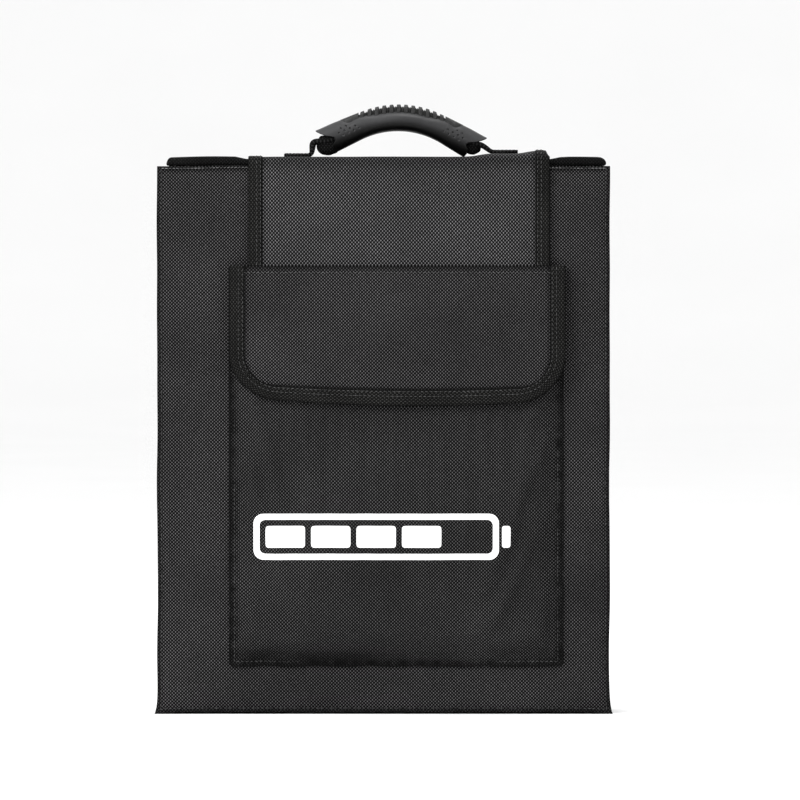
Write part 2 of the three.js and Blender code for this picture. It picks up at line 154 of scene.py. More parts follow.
def grid(name, cells, place, closed=False):
    """A sheet of cells[0] x cells[1] faces. place takes u and v, 0 to 1 each way. It gives each point's place
    and its place on the cloth in metres, which becomes the UV map, and where it likes a darkness, 0 to 1, of
    painted shade along seams and folds, kept in the seam attribute. A closed sheet joins u = 1 to u = 0."""
    bpy.ops.object.select_all(action="DESELECT")
    bpy.ops.mesh.primitive_grid_add(x_subdivisions=cells[0], y_subdivisions=cells[1], size=1)
    piece = bpy.context.object
    piece.name = piece.data.name = name
    mesh = piece.data
    u, v = (points_of(piece)[:, k] + 0.5 for k in (0, 1))
    points, on_cloth, *painted_shade_amount = place(u, v)
    mesh.vertices.foreach_set("co", np.stack(points, 1).ravel())
    # The darkness is painted shade, kept in the seam attribute that the materials read.
    for darkness in painted_shade_amount:
        seam = mesh.attributes.new("seam", "FLOAT", "POINT")
        seam.data.foreach_set("value", np.clip(darkness, 0, 1))
    corner = np.zeros(len(mesh.loops), int)
    mesh.loops.foreach_get("vertex_index", corner)
    uv = np.stack(on_cloth, 1)[corner]
    mesh.uv_layers[0].name = "UVMap"
    mesh.uv_layers[0].data.foreach_set("uv", uv.ravel())
    mesh.update()
    if closed:
        edit_all(lambda: bpy.ops.mesh.remove_doubles(threshold=1e-6))
    return piece


def bevel(piece, width_of, angle):
    """Rounds the edges that are sharper than an angle in degrees."""
    limit = math.radians(angle)
    apply_modifier(piece, "BEVEL", width=width_of, segments=2, limit_method="ANGLE", angle_limit=limit)


def cloth(name, cells, place, thickness, edge=0.35 * MM):
    """A grid with the cloth's thickness behind its face and softened cut edges."""
    piece = grid(name, cells, place)
    apply_modifier(piece, "SOLIDIFY", thickness=thickness, offset=-1)
    if edge:
        bevel(piece, edge, 50)
    return finish(piece)


def calc(tree, operation, first, second=None, third=None):
    """A Math node on sockets or numbers."""
    made = tree.nodes.new("ShaderNodeMath")
    made.operation = operation
    for socket, value in zip(made.inputs, (first, second, third)):
        if isinstance(value, bpy.types.NodeSocket):
            tree.links.new(value, socket)
        elif value is not None:
            socket.default_value = value
    return made.outputs[0]


def noise_of(tree, scale, detail=2.0):
    """Noise on the piece's own coordinates, from 0 to 1."""
    place = tree.nodes.new("ShaderNodeTexCoord")
    made = tree.nodes.new("ShaderNodeTexNoise")
    made.inputs["Scale"].default_value = scale
    made.inputs["Detail"].default_value = detail
    tree.links.new(place.outputs["Object"], made.inputs["Vector"])
    return made.outputs["Fac"]


def shades(tree, by, *stops):
    """A colour ramp: stops are (place, grey or colour)."""
    made = tree.nodes.new("ShaderNodeValToRGB")
    ramp = made.color_ramp
    while len(ramp.elements) < len(stops):
        ramp.elements.new(0.5)
    for element, (at, colour) in zip(ramp.elements, stops):
        element.position = at
        rgb = colour if isinstance(colour, tuple) else (colour,) * 3
        element.color = (*rgb, 1)
    tree.links.new(by, made.inputs["Fac"])
    return made.outputs["Color"]


def times(tree, first, second):
    """One colour socket multiplied by another."""
    made = tree.nodes.new("ShaderNodeMix")
    made.data_type = "RGBA"
    made.blend_type = "MULTIPLY"
    made.inputs[0].default_value = 1.0
    for socket, colour in zip((made.inputs[6], made.inputs[7]), (first, second)):
        tree.links.new(colour, socket)
    return made.outputs[2]


BUMP_STRENGTH = 1.05


def surface(name, colour, roughness, bump=None, bump_depth=0.2 * MM, **uniform):
    """A Principled material. colour, roughness and bump are sockets made by a function of its node tree."""
    made = bpy.data.materials.new(name)
    made.use_nodes = True
    tree = made.node_tree
    shader = tree.nodes["Principled BSDF"]
    tree.links.new(colour(tree), shader.inputs["Base Color"])
    if callable(roughness):
        tree.links.new(roughness(tree), shader.inputs["Roughness"])
    else:
        shader.inputs["Roughness"].default_value = roughness
    if bump:
        relief = tree.nodes.new("ShaderNodeBump")
        relief.inputs["Strength"].default_value = BUMP_STRENGTH
        relief.inputs["Distance"].default_value = bump_depth
        tree.links.new(bump(tree), relief.inputs["Height"])
        tree.links.new(relief.outputs["Normal"], shader.inputs["Normal"])
    for key, value in uniform.items():
        shader.inputs[key.replace("_", " ")].default_value = value
    return made


def yarns(tree, yarn, rib=1.0, dip=0.5):
    """Heights of the two sets of yarns of a plain weave, 0 to 1, on the cloth's UV map in metres. yarn is
    their spacing each way, rib below 1 gives rounder yarns, and dip is how far one sinks under the next."""
    where = tree.nodes.new("ShaderNodeUVMap")
    where.uv_map = "UVMap"
    split = tree.nodes.new("ShaderNodeSeparateXYZ")
    tree.links.new(where.outputs[0], split.inputs[0])
    wave, cell = [], []
    for axis in (0, 1):
        along = calc(tree, "MULTIPLY_ADD", split.outputs[axis], 1 / yarn[axis], 4000.0)
        wave.append(calc(tree, "SINE", calc(tree, "MULTIPLY", calc(tree, "FRACT", along), math.pi)))
        cell.append(calc(tree, "FLOOR", along))
    over = calc(tree, "MODULO", calc(tree, "ADD", cell[0], cell[1]), 2.0)
    warp, weft = [
        calc(
            tree,
            "MULTIPLY",
            calc(tree, "POWER", wave[i], rib),
            calc(tree, "MULTIPLY_ADD", wave[1 - i], dip, 1 - dip),
        )
        for i in (0, 1)
    ]
    under = calc(tree, "SUBTRACT", 1.0, over)
    return calc(tree, "MULTIPLY", warp, over), calc(tree, "MULTIPLY", weft, under)


def weave(tree, yarn, rib=1.0, dip=0.5):
    return calc(tree, "ADD", *yarns(tree, yarn, rib, dip))


def woven_colour(dark, light, yarn, blotch=0.35, scale=14.0, tint=(1, 1, 1), weft=0.22):
    """Yarns from dark in the gaps to light on their backs, which is painted shade in the gaps and a painted
    highlight on their backs, with soft uneven patches. weft is how light the yarns across are beside the
    yarns along, which face the light."""

    def build(tree):
        along, across = yarns(tree, yarn)
        lit = calc(tree, "MULTIPLY_ADD", across, weft, along)
        gap, back = (tuple(tone * t for t in tint) for tone in (dark, light))
        # Painted shade in the gaps between the yarns and a painted highlight on their backs.
        yarn_shade_and_highlight = shades(tree, lit, (0.2, gap), (0.95, back))
        patches = shades(tree, noise_of(tree, scale, 3.0), (0.3, 1 - blotch), (0.7, 1.0))
        fluff = shades(tree, noise_of(tree, 900.0, 1.0), (0.35, 0.75), (0.75, 1.15))
        # Painted shade: the seam attribute darkens the cloth towards black along seams, hems, folds and
        # edges, where shade falls.
        seam = tree.nodes.new("ShaderNodeAttribute")
        seam.attribute_name = "seam"
        painted_shade_tone = shades(tree, seam.outputs["Fac"], (0.0, 1.0), (1.0, 0.1))
        tone = times(tree, times(tree, yarn_shade_and_highlight, patches), fluff)
        return times(tree, tone, painted_shade_tone)

    return build


def woven_roughness(low, high):
    return lambda tree: shades(tree, noise_of(tree, 40.0, 3.0), (0.3, low), (0.7, high))


CLOTH_SHINE = {"Sheen_Weight": 0.01, "Sheen_Roughness": 0.4, "Specular_IOR_Level": 0.04}
TAPE_SHINE = {"Sheen_Weight": 0.01, "Specular_IOR_Level": 0.04}


def woven(
    name, dark, light, yarn, rough=(0.5, 0.66), rib=0.8, dip=0.5, depth=0.35 * MM, shine=CLOTH_SHINE, **how
):
    """A plain-woven material, from its darkest to its lightest tone. how goes on to woven_colour."""
    return surface(
        name,
        woven_colour(dark, light, yarn, **how),
        woven_roughness(*rough),
        lambda tree: weave(tree, yarn, rib, dip),
        depth,
        **shine,
    )


NYLON_YARN = (1.4 * MM, 1.4 * MM)
nylon = woven("ballistic_nylon", 0.0008, 0.12, NYLON_YARN, tint=(1.0, 0.975, 1.0))

thread = surface(
    "sewing_thread",
    lambda tree: shades(tree, noise_of(tree, 300.0), (0.35, 0.006), (0.7, 0.05)),
    0.45,
    Specular_IOR_Level=0.4,
)
# A lighter thread, used for the stitching along the panels' top edges.
worn_thread = surface(
    "worn_thread",
    lambda tree: shades(tree, noise_of(tree, 120.0), (0.4, 0.015), (0.65, 0.13)),
    0.5,
    Specular_IOR_Level=0.4,
)


def dress(piece, material):
    piece.data.materials.clear()
    piece.data.materials.append(material)
    return piece


front_low, front_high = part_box("front_shell")
back_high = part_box("back_shell")[1]
width, height = front_high.x - front_low.x, front_high.z
gusset_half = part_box("right_gusset")[1].x
FRONT, BACK = front_low.y, back_high.y


def panel_place(outer, outward, seed):
    """The front or back panel: a sheet whose lower corners stand out and down a little."""

    def place(u, v):
        across = u if outward < 0 else 1 - u
        x, z = (across - 0.5) * width, v * height
        edge = np.minimum(np.minimum(u, 1 - u) * width, np.minimum(v, 1 - v) * height)
        inside = smooth((edge - PANEL_HEM) / (30 * MM))
        y = outer + outward * PANEL_SWELL * swell(edge)
        waves = 0.35 * MM * ripple(x, z, 0.11, seed) + 0.15 * MM * ripple(x, z, 0.035, seed + 1)
        y += outward * inside * waves
        corner = np.exp(-v * height / (7 * MM))
        x = x + np.sign(x) * (np.abs(2 * u - 1) ** 20) * (1.6 * MM * corner - 1.1 * MM * (1 - corner))
        x += 0.35 * MM * ripple(z, x * 0, 0.07, seed + 2) * np.abs(2 * u - 1) ** 6
        lift = 1.8 * MM * (1 - np.abs(2 * u - 1) ** 14)
        z = z + lift * np.exp(-v * height / (12 * MM))
        z += smooth((v - 0.95) / 0.05) * (1.3 + 0.4 * ripple(x, z * 0, 0.09, seed + 3)) * MM * (outward < 0)
        # Painted shade along the panel's turned edges and in the groove of its stitching.
        painted_shade_amount = 0.9 * line(edge, 2.6 * MM) * (0.85 + 0.25 * ripple(x, z, 0.012, seed + 4))
        return (x, y, z), (x, z), np.maximum(painted_shade_amount, 0.85 * line(edge - PANEL_HEM, 1.1 * MM))

    return place


def wall_panel(name, place, *nodes):
    cells = (round(width / CLOTH_CELL), round(height / CLOTH_CELL))
    piece = cloth(name, cells, place, PANEL_THICK)
    dress(piece, nylon)
    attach(piece, "case")
    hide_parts(*nodes)


front_place = panel_place(FRONT, -1, 11)
back_place = panel_place(BACK, 1, 23)
wall_panel("front_panel", front_place, "front_shell", "front_board")
wall_panel("back_panel", back_place, "back_shell", "back_board")

# A stitch is a short fat stroke of thread, sunk to half its thickness.
STITCH_LENGTH, STITCH_WIDTH = 2.6 * MM, 0.7 * MM
STITCH_PITCH = 3.8 * MM
bpy.ops.object.select_all(action="DESELECT")
bpy.ops.mesh.primitive_uv_sphere_add(segments=6, ring_count=4, radius=0.5)
stitch = bpy.context.object
stitch_points = np.array([v.co for v in stitch.data.vertices]) * (STITCH_WIDTH, STITCH_WIDTH, STITCH_LENGTH)
stitch_faces = [list(p.vertices) for p in stitch.data.polygons]
bpy.data.objects.remove(stitch)


def copies(name, points, faces, frames):
    """One mesh of many copies of a small shape. Each frame is (origin, x, y, z) as arrays of rows."""
    origin, *axes = frames
    turned = sum(points[None, :, i, None] * axes[i][:, None, :] for i in range(3)) + origin[:, None, :]
    every = [[k + n * len(points) for k in face] for n in range(len(origin)) for face in faces]
    mesh = bpy.data.meshes.new(name)
    mesh.from_pydata(turned.reshape(-1, 3).tolist(), [], every)
    mesh.uv_layers.new(name="UVMap")
    piece = bpy.data.objects.new(name, mesh)
    bpy.context.scene.collection.objects.link(piece)
    return finish(piece, 60)


def stitching(name, place, rows, lift=0.1 * MM, pitch=STITCH_PITCH, finish_of=thread):
    """Rows of stitches on a placed sheet. Each row is (u, v) points to sew along."""
    found = [[], [], [], []]
    for row in rows:
        row = np.array(row, float)
        t = np.linspace(0, len(row) - 1, 1200)
        u, v = (np.interp(t, range(len(row)), row[:, k]) for k in (0, 1))
        step = 1e-4
        at, right, up = (np.stack(place(u + du, v + dv)[0], 1) for du, dv in ((0, 0), (step, 0), (0, step)))
        normal = np.cross(right - at, up - at)
        normal /= np.linalg.norm(normal, axis=1)[:, None]
        run = np.concatenate([[0], np.cumsum(np.linalg.norm(np.diff(at, axis=0), axis=1))])
        spots = np.arange(pitch / 2, run[-1], pitch)
        spot, out = (np.stack([np.interp(spots, run, a[:, k]) for k in range(3)], 1) for a in (at, normal))
        ahead = np.stack([np.interp(spots + 0.5 * MM, run, at[:, k]) for k in range(3)], 1) - spot
        ahead /= np.maximum(np.linalg.norm(ahead, axis=1), 1e-9)[:, None]
        out /= np.linalg.norm(out, axis=1)[:, None]
        for store, each in zip(found, (spot + out * lift, np.cross(out, ahead), out, ahead)):
            store.append(each)
    piece = copies(name, stitch_points, stitch_faces, [np.concatenate(store) for store in found])
    return dress(piece, finish_of)


def hem_line(hem, wide, tall):
    """The corners of a line that runs at a hem's distance inside a sheet's four edges."""
    a, b = hem / wide, hem / tall
    return [(a, b), (a, 1 - b), (1 - a, 1 - b), (1 - a, b), (a, b)]


hem_u, hem_v, rim_v = PANEL_HEM / width, PANEL_HEM / height, 1 - 1.7 * MM / height
for name, place in (("front", front_place), ("back", back_place)):
    rows = [[(hem_u, rim_v), (hem_u, hem_v), (1 - hem_u, hem_v), (1 - hem_u, rim_v)]]
    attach(stitching(f"{name}_topstitching", place, rows), "case")
    edge_row = [[(hem_u, rim_v), (1 - hem_u, rim_v)]]
    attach(stitching(f"{name}_edge_stitching", place, edge_row, pitch=3 * MM, finish_of=worn_thread), "case")


# ---- Gussets -----------------------------------------------------------------------------------------------
# Strips of the same nylon join the panels down both sides and under the bottom. Their long edges turn
# outwards to the panels' edges, where all the layers are sewn together.

GUSSET_LIP = 4 * MM  # the turn towards the panel's edge happens within this distance of it
gusset_y = (FRONT + 1.4 * MM, BACK - 1.4 * MM)


def gusset_place(side, seed):
    def place(u, v):
        along = u if side > 0 else 1 - u
        y = gusset_y[0] + along * (gusset_y[1] - gusset_y[0])
        from_panel = np.minimum(along, 1 - along) * (gusset_y[1] - gusset_y[0])
        lip = np.exp(-((from_panel / GUSSET_LIP) ** 1.4))
        z = v * (height - 1 * MM)
        sag = 1.1 * MM * ripple(y, z, 0.06, seed) * smooth(from_panel / (12 * MM))
        x = side * (gusset_half + lip * (width / 2 - gusset_half - 1.2 * MM) + sag)
        return (x, y, z), (y, z)

    return place


for side, label in ((-1, "left"), (1, "right")):
    gusset = cloth(f"{label}_side_gusset", (40, 150), gusset_place(side, 31 + side), 1.3 * MM)
    dress(gusset, nylon)
    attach(gusset, "case")
    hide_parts(f"{label}_gusset", f"{label}_gusset_foam")


def bottom_place(u, v):
    x = (u - 0.5) * 2 * gusset_half
    y = gusset_y[1] - v * (gusset_y[1] - gusset_y[0])
    from_side = np.minimum(u, 1 - u) * 2 * gusset_half
    edge = np.minimum(from_side, np.minimum(v, 1 - v) * (gusset_y[1] - gusset_y[0]))
    z = 1.4 * MM * (1 - smooth(edge / (10 * MM))) + 0.2 * MM * (1 + ripple(x, y, 0.05, 41))
    return (x, y, z), (x, y)


bottom = cloth("bottom_panel", (120, 24), bottom_place, 1.3 * MM)
dress(bottom, nylon)
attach(bottom, "case")
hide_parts("bottom_gusset", "bottom_board")


# ---- Lining ------------------------------------------------------------------------------------------------
# Coated glass cloth lines every wall, the floor and the lid. It is sewn in at the top under a facing tape
# that covers the edges of the foam board all round the opening.

GLASS_YARN = (1.6 * MM, 1.6 * MM)
glass_cloth = woven(
    "glass_cloth",
    0.25,
    0.5,
    GLASS_YARN,
    rough=(0.35, 0.55),
    rib=0.6,
    depth=0.3 * MM,
    shine={"Specular_IOR_Level": 0.6},
    blotch=0.18,
    scale=20.0,
    tint=(1.0, 1.0, 0.96),
    weft=0.8,
)


def flat_sheet(low, high, normal, bulge, seed):
    """A sheet over the face of a box that looks along normal, uneven by bulge, and that face's size."""
    axis = max(range(3), key=lambda k: abs(normal[k]))
    sign = normal[axis]
    first, second = [(1, 2), (0, 2), (0, 1)][axis]
    turned = (sign > 0) == (axis != 1)
    size = (high[first] - low[first], high[second] - low[second])

    def place(u, v):
        across = u if turned else 1 - u
        a, b = low[first] + across * size[0], low[second] + v * size[1]
        edge = np.minimum(np.minimum(u, 1 - u) * size[0], np.minimum(v, 1 - v) * size[1])
        raised = bulge * smooth(edge / (15 * MM)) * ripple(a, b, 0.08, seed)
        face = (high if sign > 0 else low)[axis] + sign * raised
        points = [None, None, None]
        points[axis], points[first], points[second] = face, a, b
        return tuple(points), (a, b)

    return place, size


LININGS = (
    ("front_liner", (0, 1, 0), "case", "front_panel"),
    ("back_liner", (0, -1, 0), "case", "back_panel"),
    ("left_gusset_liner", (1, 0, 0), "case", "left_side_gusset"),
    ("right_gusset_liner", (-1, 0, 0), "case", "right_side_gusset"),
    ("bottom_liner", (0, 0, 1), "case", "bottom_panel"),
    ("lid_liner", (0, 0, -1), "lid", "lid_cover"),
)
LID_LINING_INSET = Vector((3 * MM, 2 * MM, 0))  # the lid's lining stops short of its edges
LINING_DROP = 4 * MM  # the walls' linings end this far below the rim, under the facing
for seed, (node, normal, body, wall) in enumerate(LININGS, 50):
    low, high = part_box(node)
    if body == "lid":
        low, high = low + LID_LINING_INSET, high - LID_LINING_INSET
    elif not normal[2]:
        high = high - Vector((0, 0, LINING_DROP))
    place, size = flat_sheet(low, high, normal, 0.5 * MM, seed)
    cells = [max(8, round(s / (6 * MM))) for s in size]
    piece = cloth(node.replace("liner", "lining"), cells, place, 0.9 * MM)
    dress(piece, glass_cloth)
    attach(piece, body)
    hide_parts(node)

TAPE_YARN = (1.3 * MM, 1.7 * MM)
binding_cloth = woven(
    "binding_tape",
    0.0003,
    0.046,
    TAPE_YARN,
    rough=(0.45, 0.6),
    rib=0.7,
    dip=0.3,
    depth=0.3 * MM,
    shine=TAPE_SHINE,
    blotch=0.45,
    scale=25.0,
    tint=(1.0, 0.99, 0.95),
    weft=0.35,
)

FACING_DROP = 14 * MM
rim_top = height - 0.35 * MM


def facing_place(low, high, inward):
    """A tape from a wall's outer face over its top edge and down its lining. inward is its inner side."""
    axis = 0 if inward[0] else 1
    sign = inward[axis]
    other = 1 - axis
    outer = (low if sign > 0 else high)[axis] + sign * 0.9 * MM
    inner = (high if sign > 0 else low)[axis] + sign * 0.35 * MM
    deep = abs(inner - outer)

    def place(u, v):
        along = low[other] + v * (high[other] - low[other])
        run = u * (deep + FACING_DROP)
        turn = smooth((run - deep + 1.5 * MM) / (3 * MM))
        face = outer + sign * np.minimum(run, deep)
        z = rim_top - np.maximum(run - deep, 0) - 0.6 * MM * turn
        z += 0.1 * MM * ripple(along, along * 0, 0.03, 60)
        points = (face, along, z) if axis == 0 else (along, face, z)
        return points, (run, along)

    return place


wall_low = Vector((-gusset_half, FRONT, 0))
wall_high = Vector((gusset_half, BACK, height))
wall_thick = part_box("front_liner")[1].y - FRONT
FACINGS = (
    ("front_facing", (wall_low, Vector((gusset_half, FRONT + wall_thick, height))), (0, 1), "front_panel"),
    ("back_facing", (Vector((-gusset_half, BACK - wall_thick, 0)), wall_high), (0, -1), "back_panel"),
    ("left_facing", (wall_low, Vector((wall_thick - gusset_half, BACK, height))), (1, 0), "left_side_gusset"),
    ("right_facing", (Vector((gusset_half - wall_thick, FRONT, 0)), wall_high), (-1, 0), "right_side_gusset"),
)
for label, (low, high), inward, wall in FACINGS:
    piece = cloth(label, (20, 60), facing_place(low, high, inward), 0.5 * MM, edge=0)
    dress(piece, binding_cloth)
    edit_all(face_out)
    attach(piece, "case")


# ---- Lid ---------------------------------------------------------------------------------------------------
# A narrow lid as long as the bag is wide: nylon over foam board, its ends folded like a parcel's, hinged by
# its own cloth along the back panel's top edge.

lid_low, lid_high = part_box("lid_shell")


def soft_box(name, low, high, radius, cuts):
    """A box with rounded edges and enough faces, closest together towards its edges, to be shaped further."""
    low, high = Vector(low), Vector(high)
    bpy.ops.object.select_all(action="DESELECT")
    bpy.ops.mesh.primitive_cube_add(size=2, calc_uvs=True)
    piece = bpy.context.object
    piece.name = piece.data.name = name
    bpy.ops.object.mode_set(mode="EDIT")
    bpy.ops.mesh.subdivide(number_cuts=cuts)
    bpy.ops.object.mode_set(mode="OBJECT")
    half = np.array((high - low) / 2)
    points = np.sin(points_of(piece) * math.pi / 2) * half
    core = np.clip(points, -(half - radius), half - radius)
    away = points - core
    far = np.maximum(np.linalg.norm(away, axis=1), 1e-9)[:, None]
    rounded = np.where(far > 1e-8, core + away / far * radius, points)
    reshape(piece, rounded + np.array((low + high) / 2))
    return piece


def box_uv(piece):
    """Lays the cloth's UV map in metres over each face from the side it looks to."""
    co, mesh = points_of(piece), piece.data
    layer = mesh.uv_layers[0] if mesh.uv_layers else mesh.uv_layers.new()
    layer.name = "UVMap"
    for face in mesh.polygons:
        axis = max(range(3), key=lambda k: abs(face.normal[k]))
        first, second = [(1, 2), (0, 2), (0, 1)][axis]
        for loop in face.loop_indices:
            p = co[mesh.loops[loop].vertex_index]
            layer.data[loop].uv = (p[first], p[second])


bind_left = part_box("top_strap_binding_left")
bind_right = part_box("top_strap_binding_right")
strap_left, strap_right = bind_left[0].x, bind_right[1].x
LID_END_RISE = 1.7 * MM  # the lid stands this much higher beside the strap
lid = soft_box("lid_cover", lid_low + Vector((0, 0, 0.6 * MM)), lid_high, 2.4 * MM, 48)
co = points_of(lid)
up = np.clip((co[:, 2] - lid_low.z) / (lid_high.z - lid_low.z), 0, 1)
near_end = smooth((np.abs(co[:, 0]) - gusset_half + 14 * MM) / (14 * MM))
co[:, 0] += near_end * np.where(co[:, 0] < 0, (1.6 + 2.8 * up) * MM, (2.2 - 3.6 * up**3) * MM)
co[:, 1] += 0.5 * MM * ripple(co[:, 0], co[:, 2], 0.06, 71) * (1 - smooth(np.abs(co[:, 1] - 0.0064) / 0.02))
beside = smooth(np.maximum(strap_left - 2 * MM - co[:, 0], co[:, 0] - strap_right - 2 * MM) / (10 * MM))
co[:, 2] += up * (0.5 * MM * ripple(co[:, 0], co[:, 1], 0.07, 72) + LID_END_RISE * beside)
co[:, 1] += np.where(co[:, 1] < 0, 0.4, 0.0) * MM * ripple(co[:, 0], co[:, 2], 0.05, 73)
reshape(lid, co)
box_uv(lid)
finish(lid)
# Painted shade: the lid's cloth is a much darker copy of the walls' nylon, for a lid that lies in shade.
lid_shade_cloth = woven("lid_nylon", 0.0006, 0.014, NYLON_YARN, shine=TAPE_SHINE, blotch=0.45, scale=22.0)
dress(lid, lid_shade_cloth)
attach(lid, "lid")
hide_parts("lid_shell", "lid_board")

# The cloth hinge: the back panel's cloth carries on up and over the lid's back edge.
hinge_z = joint_at("lid_hinge")[2]
HINGE_INSET = 3 * MM  # it ends this far inside the gussets
HINGE_DROP, HINGE_TALL = 13 * MM, 18.5 * MM  # from the hinge line to its lower edge, and its height


def hinge_place(u, v):
    x = (0.5 - u) * 2 * (gusset_half - HINGE_INSET)
    z = hinge_z - HINGE_DROP + v * HINGE_TALL
    y = BACK + 0.55 * MM + 1.5 * MM * smooth((hinge_z - z - 2 * MM) / (6 * MM))
    return (x, y + 0.1 * MM * ripple(x, z, 0.05, 75), z), (x, z)


lid_hinge = cloth("lid_hinge_cloth", (120, 20), hinge_place, 0.5 * MM, edge=0)
dress(lid_hinge, nylon)
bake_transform(lid_hinge)
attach(stitching("lid_hinge_stitching", hinge_place, [[(0.01, 0.12), (0.99, 0.12)]]), "case")


# ---- Strap -------------------------------------------------------------------------------------------------
# A padded strap of nylon as wide as the pocket is sewn down the back, over the lid and down the front, with
# a folded tape bound over each long edge. It is modelled in two lengths that meet under the handle.

strap_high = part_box("top_strap")[1]
strap_wide = strap_right - strap_left
STRAP_THICK = 1.5 * MM
STRAP_SUNK = 0.7 * MM  # the cloth lies this much closer to the lid than its model
strap_mid_y = (lid_low.y + lid_high.y) / 2
front_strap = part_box("front_strap")
back_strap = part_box("back_strap")
CORNER = 3.5 * MM  # radius of the strap's turn over the lid's edges


def bent(run, level, face, sign, bottom):
    """y, z and outward normal along the outer face of a strap that starts on the lid's middle, turns down at
    the face, and ends at the bottom."""
    flat = abs(face - strap_mid_y) - CORNER
    arc = CORNER * math.pi / 2
    turn = np.clip((run - flat) / arc, 0, 1) * math.pi / 2
    down = np.clip(run - flat - arc, 0, None)
    y = strap_mid_y + sign * (np.clip(run, 0, flat) + CORNER * np.sin(turn))
    z = level - CORNER + CORNER * np.cos(turn) - down
    return y, z, sign * np.sin(turn), np.cos(turn), flat + arc + level - CORNER - bottom


def strap_place(face, sign, bottom, seed):
    length = bent(np.zeros(1), strap_high.z, face, sign, bottom)[4]

    def place(u, v):
        across = u if sign < 0 else 1 - u
        x = strap_left + across * strap_wide
        run = (1 - v) * length
        y, z, ny, nz, _ = bent(run, strap_high.z, face, sign, bottom)
        edge = np.minimum(u, 1 - u) * strap_wide
        puff = 0.7 * MM * smooth((edge - 10 * MM) / (14 * MM)) + 0.35 * MM * ripple(x, run, 0.06, seed)
        puff = (puff + 0.15 * MM * ripple(x, run, 0.02, seed + 1)) * smooth((run - 20 * MM) / (30 * MM))
        on_lid = 1 - smooth((run - 22 * MM) / (12 * MM))
        # The cloth stands up off the lid towards the right-hand tape.
        inside = strap_right - x
        crest = 3.0 * smooth((72 * MM - inside) / (26 * MM)) + 2.2 * smooth((28 * MM - inside) / (18 * MM))
        crest *= smooth((inside + 0.5 * MM) / (4 * MM))
        puff = puff + on_lid * (crest * MM - STRAP_SUNK)
        # Painted shade beside the bound edges, at the strap's lower end and where it turns down over the
        # lid's edge.
        painted_shade_amount = 0.9 * line(edge - 10.9 * MM, 1.4 * MM) + 0.6 * line(run - length, 6 * MM)
        painted_shade_amount = painted_shade_amount + 0.5 * line(run - abs(face - strap_mid_y), 9 * MM)
        return (x, y + ny * puff, z + nz * puff), (x, run), painted_shade_amount

    return place, length


front_strap_place, front_length = strap_place(front_strap[0].y, -1, front_strap[0].z, 81)
back_strap_place, back_length = strap_place(back_strap[1].y, 1, back_strap[0].z, 83)

STRAP_YARN = (1.4 * MM, 1.55 * MM)
strap_cloth = woven(
    "strap_nylon",
    0.001,
    0.168,
    STRAP_YARN,
    rough=(0.5, 0.62),
    shine={**CLOTH_SHINE, "Specular_IOR_Level": 0.05},
    blotch=0.3,
    tint=(1.0, 0.985, 1.01),
)


def blend_front(piece):
    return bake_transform(piece)


def blend_back(piece):
    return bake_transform(piece)


BIND = bind_left[1].x - bind_left[0].x
BIND_ROLL = 1.3 * MM  # how far the folded tape stands over the strap's face


def tape_painted_shade(inside, wide):
    """Painted shade on a bound tape: darkest along its hem, along its middle row of stitches and at its fold,
    where shade falls.
    """
    hem, row, fold = line(inside - wide, 1.1 * MM), line(inside - 0.6 * wide, 0.9 * MM), line(inside, 1 * MM)
    return 0.85 * hem + 0.8 * row + 0.7 * fold


def binding_place(strap, side):
    """A tape folded over a strap's edge: a flat tube from just outside the edge to its inner hem."""

    def place(u, v):
        angle = 2 * math.pi * u
        box = lambda t: np.sign(t) * np.abs(t) ** 0.35
        inside = BIND / 2 - (BIND / 2 + 0.5 * MM) * box(np.cos(angle))
        on = inside / strap_wide
        from_edge = on if side < 0 else 1 - on
        (x, y, z), (_, run) = strap(from_edge, v)[:2]
        _, y1, z1 = strap(from_edge, v - 1e-4)[0]
        back = np.stack([y1 - y, z1 - z], 1)
        back /= np.maximum(np.linalg.norm(back, axis=1), 1e-12)[:, None]
        level = -STRAP_THICK / 2 + (STRAP_THICK / 2 + BIND_ROLL * 0.6) * box(np.sin(angle))
        level -= 0.4 * MM * line(inside - 0.6 * BIND, 0.8 * MM) * np.sign(np.sin(angle))
        turned = 1 if strap is front_strap_place else -1
        points = (x, y + turned * back[:, 1] * level, z - turned * back[:, 0] * level)
        return points, (inside, run), tape_painted_shade(inside, BIND)

    return place


def tube(name, cells, place):
    """A closed tube with filled ends, from a place whose u runs round and whose v runs along."""
    piece = grid(name, cells, place, closed=True)
    edit_all(lambda: bpy.ops.mesh.fill_holes(sides=0), face_out)
    return finish(piece, 50)


